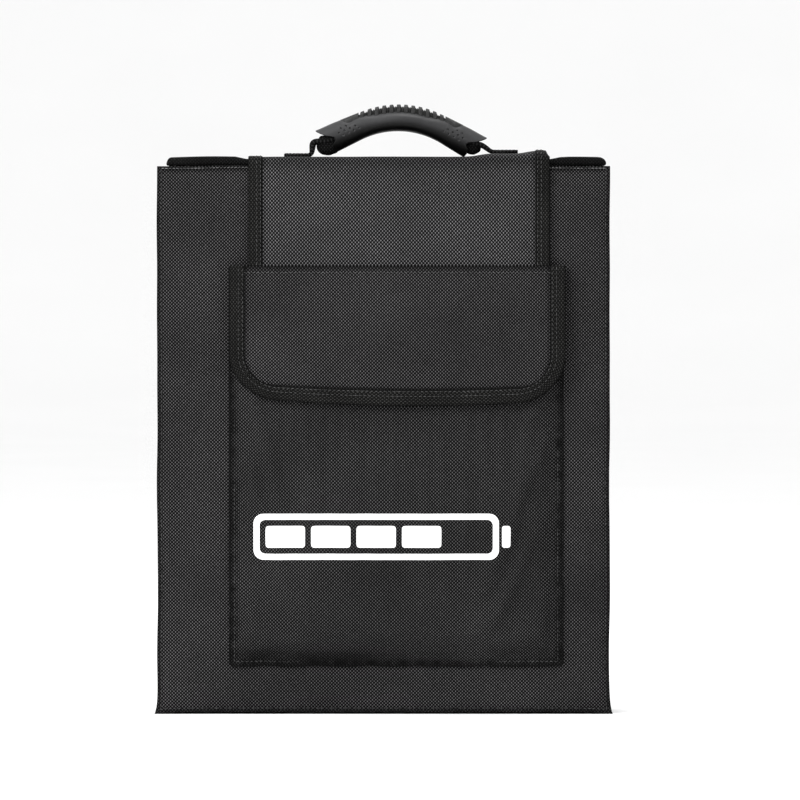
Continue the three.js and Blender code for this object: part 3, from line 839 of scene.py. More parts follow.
STRAP_CELL, TAPE_CELL = (2.5 * MM, 1.5 * MM), 2 * MM
STRAP_ROWS = (6.4 * MM, 9.6 * MM)  # from the strap's edge to each row of its stitches
STRAPS = (
    ("front", front_strap_place, front_length, blend_front, ("front_strap", "top_strap")),
    ("back", back_strap_place, back_length, blend_back, ("back_strap",)),
)
for label, place, length, bend, nodes in STRAPS:
    cells = (round(strap_wide / STRAP_CELL[0]), round(length / STRAP_CELL[1]))
    piece = cloth(f"{label}_strap_cloth", cells, place, STRAP_THICK)
    dress(piece, strap_cloth)
    bend(piece)
    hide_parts(*nodes)
    for side, edge_name in ((-1, "left"), (1, "right")):
        hand = side if label == "front" else -side
        cells = (60, round(length / TAPE_CELL))
        tape = tube(f"{label}_strap_binding_{edge_name}_tape", cells, binding_place(place, hand))
        dress(tape, binding_cloth)
        bend(tape)
        stands_for = [f"{label}_strap_binding_{edge_name}"]
        if label == "front":
            stands_for.append(f"top_strap_binding_{edge_name}")
        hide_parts(*stands_for)
    rows = [[(u, 0.02), (u, 0.98)] for row in STRAP_ROWS for u in (row / strap_wide, 1 - row / strap_wide)]
    bend(stitching(f"{label}_strap_stitching", place, rows, lift=BIND_ROLL * 0.6 + 0.15 * MM))


# ---- Hook-and-loop tape on the panel and the strap ---------------------------------------------------------
# The strap's end is held to the front panel by hook tape on its underside and soft loop tape on the panel.
# Each tape is a rough-faced strip with a row of stitches inside its four edges.

pile = surface(
    "hook_and_loop",
    lambda tree: shades(tree, noise_of(tree, 1400.0, 2.0), (0.35, 0.008), (0.7, 0.06)),
    0.8,
    lambda tree: noise_of(tree, 1400.0, 2.0),
    0.5 * MM,
    Sheen_Weight=0.3,
    Specular_IOR_Level=0.2,
)


def patch(place, left, right, low, high, lift):
    """Part of a placed sheet, between two u and two v, moved off its face by lift. With left past right it
    faces the other way."""

    def made(u, v):
        a, b = left + u * (right - left), low + v * (high - low)
        step = 1e-3
        at, side, up = (np.stack(place(a + da, b + db)[0], 1) for da, db in ((0, 0), (step, 0), (0, step)))
        out = np.cross(side - at, up - at)
        out /= np.linalg.norm(out, axis=1)[:, None]
        return tuple((at + out * lift).T), place(a, b)[1]

    return made


def tape_on(name, place, node, spans, lift, body, inside=False):
    """A sewn tape of pile over a node's height and width on a placed sheet that spans the given x and z."""
    low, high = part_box(node)
    (x0, x1), (z0, z1) = spans
    left, right = (low.x - x0) / (x1 - x0), (high.x - x0) / (x1 - x0)
    bottom, top = (low.z - z0) / (z1 - z0), (high.z - z0) / (z1 - z0)
    if inside:
        left, right = right, left
    where = patch(place, left, right, bottom, top, lift)
    piece = cloth(name, (60, 12), where, 0.8 * MM)
    dress(piece, pile)
    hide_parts(node)
    seams = stitching(f"{name}_stitching", where, [hem_line(1.6 * MM, high.x - low.x, high.z - low.z)])
    for made in (piece, seams):
        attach(made, body)


panel_span = ((front_low.x, front_high.x), (0, height))
tape_on("front_loop_pile", front_place, "front_loop_tape", panel_span, 1.0 * MM, "case")
strap_bottom = front_strap[0].z
strap_span = ((strap_left, strap_right), (strap_bottom, strap_bottom + front_length))
under = -(STRAP_THICK + 0.7 * MM)
tape_on(
    "front_hook_pile", front_strap_place, "front_hook_tape", strap_span, under, "front_strap", inside=True
)


# ---- Pocket ------------------------------------------------------------------------------------------------
# A patch pocket of one cut of nylon, sewn to the front panel down both sides and along the bottom, with a
# hemmed mouth. The cloth has a little slack, so it puffs out and creases towards its lower corners.

pouch_low, pouch_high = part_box("pocket_pouch")
pouch_wide, pouch_tall = pouch_high.x - pouch_low.x, pouch_high.z - pouch_low.z
POUCH_HEM = 4.2 * MM  # from the pocket's edge to its stitching
POUCH_FLANGE = 2.7 * MM  # how far its sewn edge stands off the panel, with the turned-in cloth under it
POUCH_TURN = (15 * MM, 26 * MM)  # over how much of its sides and of its bottom it comes forward
MOUTH_DEPTH, BELLY_DEPTH = 6.5 * MM, FRONT - pouch_low.y
FLAP_TILT = math.tan(math.radians(4))
HEM_BAND = 13 * MM
POUCH_CELL = 4 * MM
DRAPE_FRAMES, DRAPE_REACH = 28, 2.6 * MM  # how long the cloth settles, and how far a point of it may move
DRAPE = {
    "vertex_group_mass": "sewn",
    "quality": 8,
    "mass": 0.15,
    "tension_stiffness": 25,
    "compression_stiffness": 25,
    "shear_stiffness": 12,
    "bending_stiffness": 0.25,
    "air_damping": 2,
    "shrink_min": -0.013,
    "use_pressure": True,
    "uniform_pressure_force": 0.25,
}


def pouch_place(u, v):
    x, z = pouch_low.x + u * pouch_wide, pouch_low.z + v * pouch_tall
    side, foot = np.minimum(u, 1 - u) * pouch_wide, v * pouch_tall
    depth = np.minimum(BELLY_DEPTH, MOUTH_DEPTH + (1 - v) * pouch_tall * FLAP_TILT)
    full = smooth((side - POUCH_HEM) / POUCH_TURN[0]) * smooth((foot - POUCH_HEM) / POUCH_TURN[1])
    edge = np.minimum(side, foot)
    dent = 0.5 * MM * np.exp(-(((edge - POUCH_HEM) / (1.2 * MM)) ** 2))
    loose = smooth((pouch_high.z - 45 * MM - z) / (40 * MM)) * full
    puff = loose * (0.9 * MM * ripple(x, z, 0.07, 91) + 0.4 * MM * ripple(x, z, 0.03, 92))
    y = FRONT - POUCH_FLANGE - np.maximum(depth - POUCH_FLANGE, 0) * full + dent - puff
    wander = 0.5 * MM * ripple(x + z, x - z, 0.025, 93) * np.exp(-edge / (5 * MM)) * (1 - v)
    uneven = 0.7 + 0.5 * ripple(x, z, 0.008, 94)
    # Painted shade along the pocket's edges, in its stitching and in a band above its bottom seam.
    painted_shade_amount = 0.9 * line(edge, 1.2 * MM) + 0.8 * line(edge - POUCH_HEM, 1.3 * MM) * uneven
    painted_shade_amount = painted_shade_amount + 0.35 * line(foot - 9 * MM, 6 * MM) * (1 + ripple(x, z * 0, 0.05, 98))
    return (x + wander, y, z + wander), (x, z), painted_shade_amount


pouch_cells = (round(pouch_wide / POUCH_CELL), round(pouch_tall / POUCH_CELL))
pouch = grid("pocket_pouch_cloth", pouch_cells, pouch_place)
before = points_of(pouch)
held = pouch.vertex_groups.new(name="sewn")
side = np.minimum(before[:, 0] - pouch_low.x, pouch_high.x - before[:, 0])
still = (side < POUCH_HEM + 3 * MM) | (before[:, 2] < pouch_low.z + POUCH_HEM + 2 * MM)
still |= before[:, 2] > pouch_high.z - 42 * MM
held.add(np.flatnonzero(still).tolist(), 1.0, "REPLACE")
drape = pouch.modifiers.new("Cloth", "CLOTH")
for key, value in DRAPE.items():
    setattr(drape.settings, key, value)
drape.settings.effector_weights.gravity = 0.6
drape.collision_settings.use_collision = False
for moment in range(1, DRAPE_FRAMES + 1):
    bpy.context.scene.frame_set(moment)
select_only(pouch)
bpy.ops.object.modifier_apply(modifier="Cloth")
bpy.context.scene.frame_set(1)
moved = points_of(pouch) - before
far = np.linalg.norm(moved, axis=1)[:, None]
capped = before + moved * np.minimum(1, DRAPE_REACH / np.maximum(far, 1e-9))
capped[:, 1] = np.clip(capped[:, 1], pouch_low.y - 3.2 * MM, FRONT - POUCH_FLANGE + 0.6 * MM)
reshape(pouch, capped)
pouch.vertex_groups.clear()
apply_modifier(pouch, "SUBSURF", levels=1, render_levels=1)
apply_modifier(pouch, "SOLIDIFY", thickness=1.1 * MM, offset=-1)
finish(pouch)
pouch_cloth = woven("pocket_nylon", 0.0008, 0.102, NYLON_YARN, scale=11.0, tint=(1.0, 0.985, 1.0))
dress(pouch, pouch_cloth)
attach(pouch, "case")
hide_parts("pocket_pouch")

seam_u, seam_v = POUCH_HEM / pouch_wide, POUCH_HEM / pouch_tall
pouch_row = [(seam_u, 0.995), (seam_u, seam_v), (1 - seam_u, seam_v), (1 - seam_u, 0.995)]
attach(stitching("pocket_stitching", pouch_place, [pouch_row]), "case")

hem_end = 12 * MM / pouch_wide
hem_band = patch(pouch_place, hem_end, 1 - hem_end, 1 - HEM_BAND / pouch_tall, 1.0, 0.7 * MM)
hem = cloth("pocket_mouth_hem_cloth", (90, 8), hem_band, 0.6 * MM)
dress(hem, pouch_cloth)
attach(hem, "case")
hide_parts("pocket_mouth_hem")
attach(stitching("pocket_hem_stitching", hem_band, [[(0.01, 0.15), (0.99, 0.15)]]), "case")
pouch_span = ((pouch_low.x, pouch_high.x), (pouch_low.z, pouch_high.z))
tape_on("pocket_loop_pile", pouch_place, "pocket_loop_tape", pouch_span, 1.0 * MM, "case")


# ---- Print on the pocket -----------------------------------------------------------------------------------
# White ink, as thin as paint, laid over the pocket's uneven face: a long battery drawn as an outline with a
# terminal and charge bars. It has no lettering.

PRINT_LOW, PRINT_HIGH = Vector((-107 * MM, 128 * MM)), Vector((95 * MM, 166 * MM))
PRINT_LINE, PRINT_CORNER = 5 * MM, 8 * MM
BARS, BAR_GAP = 5, 5 * MM
INK_PROUD = 0.25 * MM

pouch_face = BVHTree.FromPolygons(
    [v.co for v in pouch.data.vertices], [list(p.vertices) for p in pouch.data.polygons]
)


def on_pouch(x, z):
    """The pocket's outer face at each x and z, with the ink's thickness over it."""
    found = [pouch_face.ray_cast(Vector((a, -0.2, b)), Vector((0, 1, 0)))[0].y for a, b in zip(x, z)]
    return (x, np.array(found) - INK_PROUD, z), (x, z)


def round_corners(u, v, low, high, radius):
    """A rectangle's points, u and v from 0 to 1, with round corners."""
    half, centre = np.array(high - low) / 2, np.array(high + low) / 2
    flat = np.stack([2 * u - 1, 2 * v - 1], 1)
    ring = np.abs(flat).max(axis=1)[:, None]
    limit = (half - radius) * ring
    core = np.clip(flat * half, -limit, limit)
    away = flat * half - core
    far = np.linalg.norm(away, axis=1)[:, None]
    return core + away * np.where(far > 1e-9, radius * ring / np.maximum(far, 1e-9), 1) + centre


def round_line(u, low, high, radius):
    """Evenly spaced points round a rectangle with round corners."""
    half, centre = np.array(high - low) / 2, np.array(high + low) / 2
    turn = np.linspace(0, 2 * math.pi, 6001)
    ray = np.stack([np.cos(turn), np.sin(turn)], 1) * half[::-1].max()
    square = ray / np.abs(ray / half).max(axis=1)[:, None]
    core = np.clip(square, radius - half, half - radius)
    away = square - core
    line_of = core + away / np.maximum(np.linalg.norm(away, axis=1)[:, None], 1e-9) * radius
    run = np.concatenate([[0], np.cumsum(np.linalg.norm(np.diff(line_of, axis=0), axis=1))])
    return np.stack([np.interp(u * run[-1], run, line_of[:, k]) for k in (0, 1)], 1) + centre


def outline_place(u, v):
    inset = Vector((PRINT_LINE, PRINT_LINE))
    outer = round_line(u, PRINT_LOW, PRINT_HIGH, PRINT_CORNER)
    inner = round_line(u, PRINT_LOW + inset, PRINT_HIGH - inset, PRINT_CORNER - PRINT_LINE * 0.7)
    at = inner + (outer - inner) * (1 - v)[:, None]
    return on_pouch(at[:, 0], at[:, 1])


def block(low, high, radius):
    def place(u, v):
        at = round_corners(u, v, low, high, radius)
        return on_pouch(at[:, 0], at[:, 1])

    return place


ink = surface(
    "white_ink",
    lambda tree: shades(tree, noise_of(tree, 120.0, 3.0), (0.3, 0.8), (0.7, 0.93)),
    0.55,
    lambda tree: weave(tree, NYLON_YARN, 0.8),
    0.08 * MM,
    Specular_IOR_Level=0.3,
)
printed = [grid("print_outline", (240, 4), outline_place, closed=True)]
terminal_low = Vector((PRINT_HIGH.x + 2.5 * MM, PRINT_LOW.y + 10 * MM))
terminal_high = Vector((terminal_low.x + 7 * MM, PRINT_HIGH.y - 10 * MM))
printed.append(grid("print_terminal", (6, 12), block(terminal_low, terminal_high, 2 * MM)))
inside = PRINT_LINE + BAR_GAP
bar_room = (PRINT_HIGH.x - PRINT_LOW.x - 2 * inside + BAR_GAP) / BARS
for bar in range(BARS - 1):
    left = PRINT_LOW.x + inside + bar * bar_room
    low = Vector((left, PRINT_LOW.y + inside))
    high = Vector((left + bar_room - BAR_GAP, PRINT_HIGH.y - inside))
    printed.append(grid(f"print_bar_{bar + 1}", (20, 12), block(low, high, 2.5 * MM)))
for piece in printed:
    apply_modifier(piece, "SOLIDIFY", thickness=INK_PROUD * 0.9, offset=-1)
    finish(piece)
    dress(piece, ink)
    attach(piece, "case")


# ---- Pocket flap -------------------------------------------------------------------------------------------
# The flap is sewn across the strap and hangs over the pocket's mouth. It is two layers of nylon with a wide
# folded tape bound round its three free edges, mitred softly at the round corners.

flap_low, flap_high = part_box("pocket_flap_binding")
flap_seam = joint_at("pocket_flap_hinge")
FLAP_CORNER = 39 * MM
FLAP_BINDING = 12 * MM
FLAP_THICK, FLAP_ROLL = 2 * MM, 0.95 * MM  # the binding stands over the flap's face by its roll
flap_wide, flap_drop = flap_high.x - flap_low.x, flap_seam[2] - flap_low.z
flap_middle = (flap_high.x + flap_low.x) / 2


def flap_face(x, drop):
    """The flap's outer face at x and at a distance down from its seam: it bows out and its edge waves."""
    across = (x - flap_middle) / (flap_wide / 2)
    down = np.clip(drop / flap_drop, 0, 1.1)
    bow = 1.2 * MM * np.sin(np.clip(down, 0, 1) * math.pi) * (1 - across**2)
    wave = 0.5 * MM * down * ripple(x, drop, 0.09, 95) + 0.9 * MM * down**2 * np.sin(across * 2.6 + 0.5)
    sag = down**3 * (1.9 - 6.4 * (across - 0.12) ** 2) * MM
    y = flap_seam[1] - drop * FLAP_TILT - bow - wave + 0.9 * MM * np.exp(-drop / (4 * MM))
    return np.stack([x, y, flap_seam[2] - drop - sag], 1)


def flap_half(drop, inset):
    """Half the flap's width at a distance down from its seam, inside its outline by inset."""
    radius = FLAP_CORNER - inset
    up = np.clip(flap_drop - inset - drop, 0, radius)
    return flap_wide / 2 - inset - radius + np.sqrt(np.maximum(radius**2 - (radius - up) ** 2, 0))


PANEL_UNDER = FLAP_BINDING - 3 * MM


def flap_panel_place(u, v):
    down = (flap_drop - PANEL_UNDER) * np.sin((1 - v) * math.pi / 2)
    x = flap_middle + (2 * u - 1) * flap_half(down, PANEL_UNDER)
    at = flap_face(x, down)
    rise = 0.5 * MM * smooth((flap_drop - PANEL_UNDER - down) / (8 * MM))
    puff = rise + 0.25 * MM * ripple(x, down, 0.035, 96)
    from_side = flap_half(down, PANEL_UNDER) - np.abs(x - flap_middle)
    from_hem = np.minimum(from_side, flap_drop - PANEL_UNDER - down)
    # Painted shade in the groove under the binding's hem, and a painted shadow along the flap's top edge.
    painted_shade_amount = 0.9 * line(from_hem - 3.4 * MM, 1.5 * MM) + 0.9 * line(down, 3.5 * MM)
    return (at[:, 0], at[:, 1] - puff + 0.5 * MM, at[:, 2]), (x, down), painted_shade_amount


def blend_flap(piece):
    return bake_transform(piece)


flap = cloth("pocket_flap_cloth", (110, 60), flap_panel_place, FLAP_THICK)
dress(flap, nylon)
blend_flap(flap)
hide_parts("pocket_flap")
cut_area = (flap_wide - 2 * PANEL_UNDER) * (flap_drop - PANEL_UNDER)
cut_area -= (2 - math.pi / 2) * (FLAP_CORNER - PANEL_UNDER) ** 2


def flap_edge(t, inset):
    """x and drop along the flap's free edge, inside it by inset: t goes from 0, top left, to 1, top right."""
    radius = FLAP_CORNER - inset
    side, corner, foot = flap_drop - FLAP_CORNER, math.pi / 2 * FLAP_CORNER, flap_wide - 2 * FLAP_CORNER
    run = t * (2 * side + 2 * corner + foot)
    half = flap_wide / 2 - inset
    legs = np.clip(run, 0, side), np.clip(run - side, 0, corner) / FLAP_CORNER
    far = np.clip(run - side - corner, 0, foot)
    last = np.clip(run - side - corner - foot, 0, corner) / FLAP_CORNER
    up = np.clip(run - side - 2 * corner - foot, 0, side)
    x = -half + radius * (1 - np.cos(legs[1])) + far + radius * np.sin(last)
    drop = legs[0] + radius * np.sin(legs[1]) - radius * (1 - np.cos(last)) - up
    return x + flap_middle, drop, run


def flap_binding_place(u, v):
    angle = 2 * math.pi * u
    boxy = lambda t: np.sign(t) * np.abs(t) ** 0.4
    inset = FLAP_BINDING / 2 - (FLAP_BINDING / 2 + 0.4 * MM) * boxy(np.cos(angle))
    x, drop, run = flap_edge(v, inset)
    at = flap_face(x, drop)
    gather = 0.3 * MM * np.sin(run / (1.9 * MM)) * line(inset - 10 * MM, 5 * MM) * near_corner(run)
    level = (FLAP_THICK / 2 + FLAP_ROLL + gather) * boxy(np.sin(angle))
    level += 0.12 * MM * ripple(run, inset, 0.02, 97)
    level -= 0.45 * MM * line(inset - 0.6 * FLAP_BINDING, 0.9 * MM) * np.sign(np.sin(angle))
    # Painted shade on the tape, darker still in the gathers at the round corners.
    painted_shade_amount = tape_painted_shade(inset, FLAP_BINDING) + 0.35 * near_corner(run)
    return (at[:, 0], at[:, 1] + FLAP_THICK / 2 - level, at[:, 2]), (inset, run), painted_shade_amount


def near_corner(run):
    side, corner, foot = flap_drop - FLAP_CORNER, math.pi / 2 * FLAP_CORNER, flap_wide - 2 * FLAP_CORNER
    spots = (side + corner / 2, side + corner * 1.5 + foot)
    return sum(np.exp(-(((run - spot) / (0.45 * corner)) ** 2)) for spot in spots)


flap_binding = tube("pocket_flap_binding_tape", (72, 300), flap_binding_place)
dress(flap_binding, binding_cloth)
blend_flap(flap_binding)
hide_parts("pocket_flap_binding")


def flap_row_place(u, v):
    """The face of the flap's binding: u from its outer to its inner edge, v along it."""
    inset = u * FLAP_BINDING
    x, drop, run = flap_edge(v, inset)
    at = flap_face(x, drop)
    return (at[:, 0], at[:, 1] - FLAP_ROLL, at[:, 2]), (inset, run)


flap_rows = [[(u, 0.004 + 0.992 * k / 400) for k in range(401)] for u in (0.6, 0.9)]
for name, place, rows in (
    ("pocket_flap_binding_stitching", flap_row_place, flap_rows),
    ("pocket_flap_seam_stitching", flap_panel_place, [[(0.005, 0.965), (0.995, 0.965)]]),
):
    blend_flap(stitching(name, place, rows))
flap_hook_low, flap_hook_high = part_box("pocket_hook_tape")


def flap_hook_place(u, v):
    x = flap_hook_high.x - u * (flap_hook_high.x - flap_hook_low.x)
    drop = flap_seam[2] - flap_hook_low.z - v * (flap_hook_high.z - flap_hook_low.z)
    at = flap_face(x, drop)
    return (at[:, 0], at[:, 1] + FLAP_THICK + 1.3 * MM, at[:, 2]), (x, drop)


hooks = cloth("pocket_hook_pile", (60, 12), flap_hook_place, 0.8 * MM)
dress(hooks, pile)
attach(hooks, "pocket_flap")
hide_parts("pocket_hook_tape")


# ---- Grip --------------------------------------------------------------------------------------------------
# A hollow moulded grip, arched for the hand. Each end is cut to a beak over an open mouth, dimples mark both
# sides of each end, and a soft ribbed insert lies in a channel along the top.

pivot = joint_at("handle_tilt")
GRIP_LEAN = math.radians(2.4)  # its right end hangs lower
ARCH_HALF = 33 * MM
HEEL = 52.3 * MM
INSERT_HALF = 50.8 * MM
INSERT_RISE = 5.4 * MM
SQUARISH = 2.4  # the power of the grip's rounded, squarish section
GRIP_ROUND = 2 / SQUARISH
CROWN, BELLY = (29.9 * MM, 81 * MM), (7.7 * MM, 68 * MM)  # height over the pivot and radius of each arch
GRIP_WALL = 2.2 * MM
MOUTH_CUT = (
    # share of the way from crown to belly
    (0.0, 0.03, 0.135, 0.305, 0.40, 0.478, 0.575, 0.64, 0.7, 0.8, 1.0),
    (71.0, 70.6, 67.6, 62.2, 58.0, 55.0, 53.7, 54.6, 56.0, 55.3, 52.5),  # where the end is cut there, in mm
)


def arch(x, crown, radius):
    """An arch that is round in the middle and goes on straight beyond."""
    rise = math.sqrt(radius**2 - ARCH_HALF**2)
    inner, outer = np.minimum(np.abs(x), ARCH_HALF), np.maximum(np.abs(x) - ARCH_HALF, 0)
    return crown - radius + np.sqrt(radius**2 - inner**2) - outer * ARCH_HALF / rise


def crown_line(x):
    return arch(x, *CROWN)


def shell_top(x):
    far = np.abs(x)
    channel = 1.0 * MM * smooth((50 * MM - far) / (5 * MM)) + 4.3 * MM * smooth((42 * MM - far) / (24 * MM))
    dip = 1.0 * MM * line(far - 42.5 * MM, 2.6 * MM)
    droop = 0.6 * MM * smooth((far - 56 * MM) / (14 * MM))
    return crown_line(x) - channel - dip - droop


def belly_line(x):
    return arch(x, *BELLY)


def grip_half(x):
    return (13.5 - 2.5 * np.clip(np.abs(x) / HEEL, 0, 1)) * MM


def in_grip(x, across, rise):
    """From along, across and above the grip's pivot to the bag's frame."""
    c, s = math.cos(GRIP_LEAN), math.sin(GRIP_LEAN)
    return (pivot[0] + x * c + rise * s, pivot[1] + across, pivot[2] - x * s + rise * c)


def power(t, p):
    return np.sign(t) * np.abs(t) ** p


def grip_place(u, v):
    angle = 2 * math.pi * u
    down = (1 - power(np.sin(angle), GRIP_ROUND)) / 2
    end = np.interp(down, MOUTH_CUT[0], MOUTH_CUT[1]) * MM
    x = (2 * v - 1) * end
    top, bottom = shell_top(x), belly_line(x)
    across = grip_half(x) * power(np.cos(angle), GRIP_ROUND)
    # The third value is painted shade, which darkens the grip's lower part to black.
    return in_grip(x, across, top - down * (top - bottom)), (across, x), smooth((down - 0.36) / 0.34)


def grip_colour_with_painted_shade(tree):
    """Dark grey with painted shade that takes it to black over the underside, and a fine grain."""
    under = tree.nodes.new("ShaderNodeAttribute")
    under.attribute_name = "seam"
    grey = shades(tree, under.outputs["Fac"], (0.0, (0.031, 0.031, 0.032)), (1.0, 0.0008))
    mottle = shades(tree, noise_of(tree, 30.0, 3.0), (0.3, 0.8), (0.7, 1.0))
    grain = shades(tree, noise_of(tree, 700.0, 2.0), (0.3, 0.88), (0.7, 1.0))
    return times(tree, times(tree, grey, mottle), grain)


moulded = surface(
    "moulded_grip",
    grip_colour_with_painted_shade,
    lambda tree: shades(tree, noise_of(tree, 60.0, 3.0), (0.3, 0.4), (0.7, 0.5)),
    lambda tree: noise_of(tree, 1500.0, 2.0),
    0.05 * MM,
    Specular_IOR_Level=0.14,
)
shell = grid("handle_grip_shell", (96, 150), grip_place, closed=True)
edit_all(face_out)
apply_modifier(shell, "SOLIDIFY", thickness=GRIP_WALL, offset=-1, use_even_offset=True, thickness_clamp=1.0)
bevel(shell, 0.45 * MM, 60)

# Three slanted rows of dimples on each side of each end.
DIMPLE, DIMPLE_DEEP = 1.15 * MM, 0.5 * MM
DIMPLE_START, ROW_STEP, ROW_UP = (-47.7 * MM, 2.6 * MM), (4.28 * MM, 2.14 * MM), (0.84 * MM, 3.9 * MM)
dimple_spots = [
    tuple(DIMPLE_START[k] + i * ROW_STEP[k] + j * ROW_UP[k] for k in (0, 1))
    for j, first, last in ((0, 0, 3), (1, -1, 2), (2, -1, 0))
    for i in range(first, last + 1)
]
bpy.ops.object.select_all(action="DESELECT")
cutters = []
for x, rise in dimple_spots:
    for end in (-1, 1):
        for side in (-1, 1):
            here = np.array([x])
            top, bottom = float(shell_top(here)[0]), float(belly_line(here)[0])
            level = (2 * rise - top - bottom) / (top - bottom)
            out = float(grip_half(here)[0]) * (1 - abs(level) ** SQUARISH) ** (1 / SQUARISH)
            spot = in_grip(-end * x, side * (out + DIMPLE - DIMPLE_DEEP), rise)
            bpy.ops.mesh.primitive_uv_sphere_add(segments=16, ring_count=10, radius=DIMPLE, location=spot)
            cutters.append(bpy.context.object)
select_only(cutters[0])
for cutter in cutters:
    cutter.select_set(True)
bpy.ops.object.join()
joined = bpy.context.object
apply_modifier(shell, "BOOLEAN", operation="DIFFERENCE", object=joined, solver="EXACT")
bpy.data.objects.remove(joined)
finish(shell, 62)
dress(shell, moulded)
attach(shell, "handle")
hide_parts("handle_grip")

# The insert: twelve ribs between two smooth ends.
RIBS, RIB_PITCH = 12, 6 * MM
RIB_DEEP, RIB_SIDE = 1.9 * MM, 1.3 * MM


def insert_place(u, v):
    x = (2 * v - 1) * INSERT_HALF
    angle = 2 * math.pi * u
    ribbed = RIBS * RIB_PITCH / 2
    phase = (x + ribbed) / RIB_PITCH % 1
    rib = smooth((0.27 - np.abs(phase - 0.5)) / 0.1 + 0.5)
    gap = np.where(np.abs(x) < ribbed, 1 - rib, 0)
    grain = 0.12 * MM * np.sin(x / (0.24 * MM)) * gap
    top = crown_line(x) - (RIB_DEEP - grain * 4) * gap + 0.15 * MM * (np.abs(x) > ribbed)
    bottom = crown_line(x) - INSERT_RISE - 4 * MM
    nose = np.clip((np.abs(x) - 43.5 * MM) / (INSERT_HALF - 43 * MM), 0, 1)
    half = 9.1 * MM * np.sqrt(1 - nose**2) - (RIB_SIDE - grain * 4) * gap
    across = half * power(np.cos(angle), 0.5)
    rise = (top + bottom) / 2 + (top - bottom) / 2 * power(np.sin(angle), 0.5)
    return in_grip(x, across, rise), (across, x)


rubber = surface(
    "rib_rubber",
    lambda tree: shades(tree, noise_of(tree, 400.0, 3.0), (0.3, 0.007), (0.75, 0.026)),
    lambda tree: shades(tree, noise_of(tree, 200.0, 2.0), (0.3, 0.5), (0.7, 0.68)),
    lambda tree: noise_of(tree, 1100.0, 2.0),
    0.08 * MM,
    Specular_IOR_Level=0.25,
)
insert = tube("handle_ribbed_insert", (48, 420), insert_place)
dress(insert, rubber)
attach(insert, "handle")
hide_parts("handle_rib_insert")


# ---- Handle webbing ----------------------------------------------------------------------------------------
# Black webbing runs through the grip and out of both mouths, where it is bunched up, and turns down to two
# flat ends sewn to the strap on the lid.

WEB_HALF = 9.6 * MM
PAD_AT, PAD_SEWN = 86 * MM, (18 * MM, 15 * MM)  # where a pad's stitched box is, and its size
WEB_YARN = (1.3 * MM, 1.5 * MM)
webbing = woven(
    "webbing",
    0.0005,
    0.024,
    WEB_YARN,
    rough=(0.5, 0.7),
    rib=0.6,
    dip=0.7,
    depth=0.7 * MM,
    shine={**TAPE_SHINE, "Specular_IOR_Level": 0.05},
    blotch=0.5,
    scale=120.0,
    weft=0.3,
)


def web_path(points):
    """A smooth run through points in mm from the grip's pivot: along, above, and the webbing's thickness."""
    rough = np.array(points) * MM
    for _ in range(4):
        cut = np.stack([rough[:-1] * 0.75 + rough[1:] * 0.25, rough[:-1] * 0.25 + rough[1:] * 0.75], 1)
        rough = np.concatenate([rough[:1], cut.reshape(-1, 3), rough[-1:]])
    run = np.concatenate([[0], np.cumsum(np.linalg.norm(np.diff(rough[:, :2], axis=0), axis=1))])
    return rough, run


def web_place(points, seed):
    path, run = web_path(points)

    def place(u, v):
        at = v * run[-1]
        x, z = np.interp(at, run, path[:, 0]), np.interp(at, run, path[:, 1])
        ends = [np.stack([np.interp(at + d, run, path[:, k]) for k in (0, 1)], 1) for d in (1e-4, -1e-4)]
        ahead = ends[0] - ends[1]
        ahead /= np.maximum(np.linalg.norm(ahead, axis=1), 1e-12)[:, None]
        angle = 2 * math.pi * u
        across = WEB_HALF * power(np.cos(angle), 0.25)
        thick = np.interp(at, run, path[:, 2]) / 2 * power(np.sin(angle), 0.6)
        thick *= 1 + 0.06 * np.sin(across / (0.75 * MM))
        thick += 0.15 * MM * ripple(at, across, 0.012, seed)
        points = (pivot[0] + x - ahead[:, 1] * thick, pivot[1] + across, pivot[2] + z + ahead[:, 0] * thick)
        return points, (across, at)

    return place, run[-1]


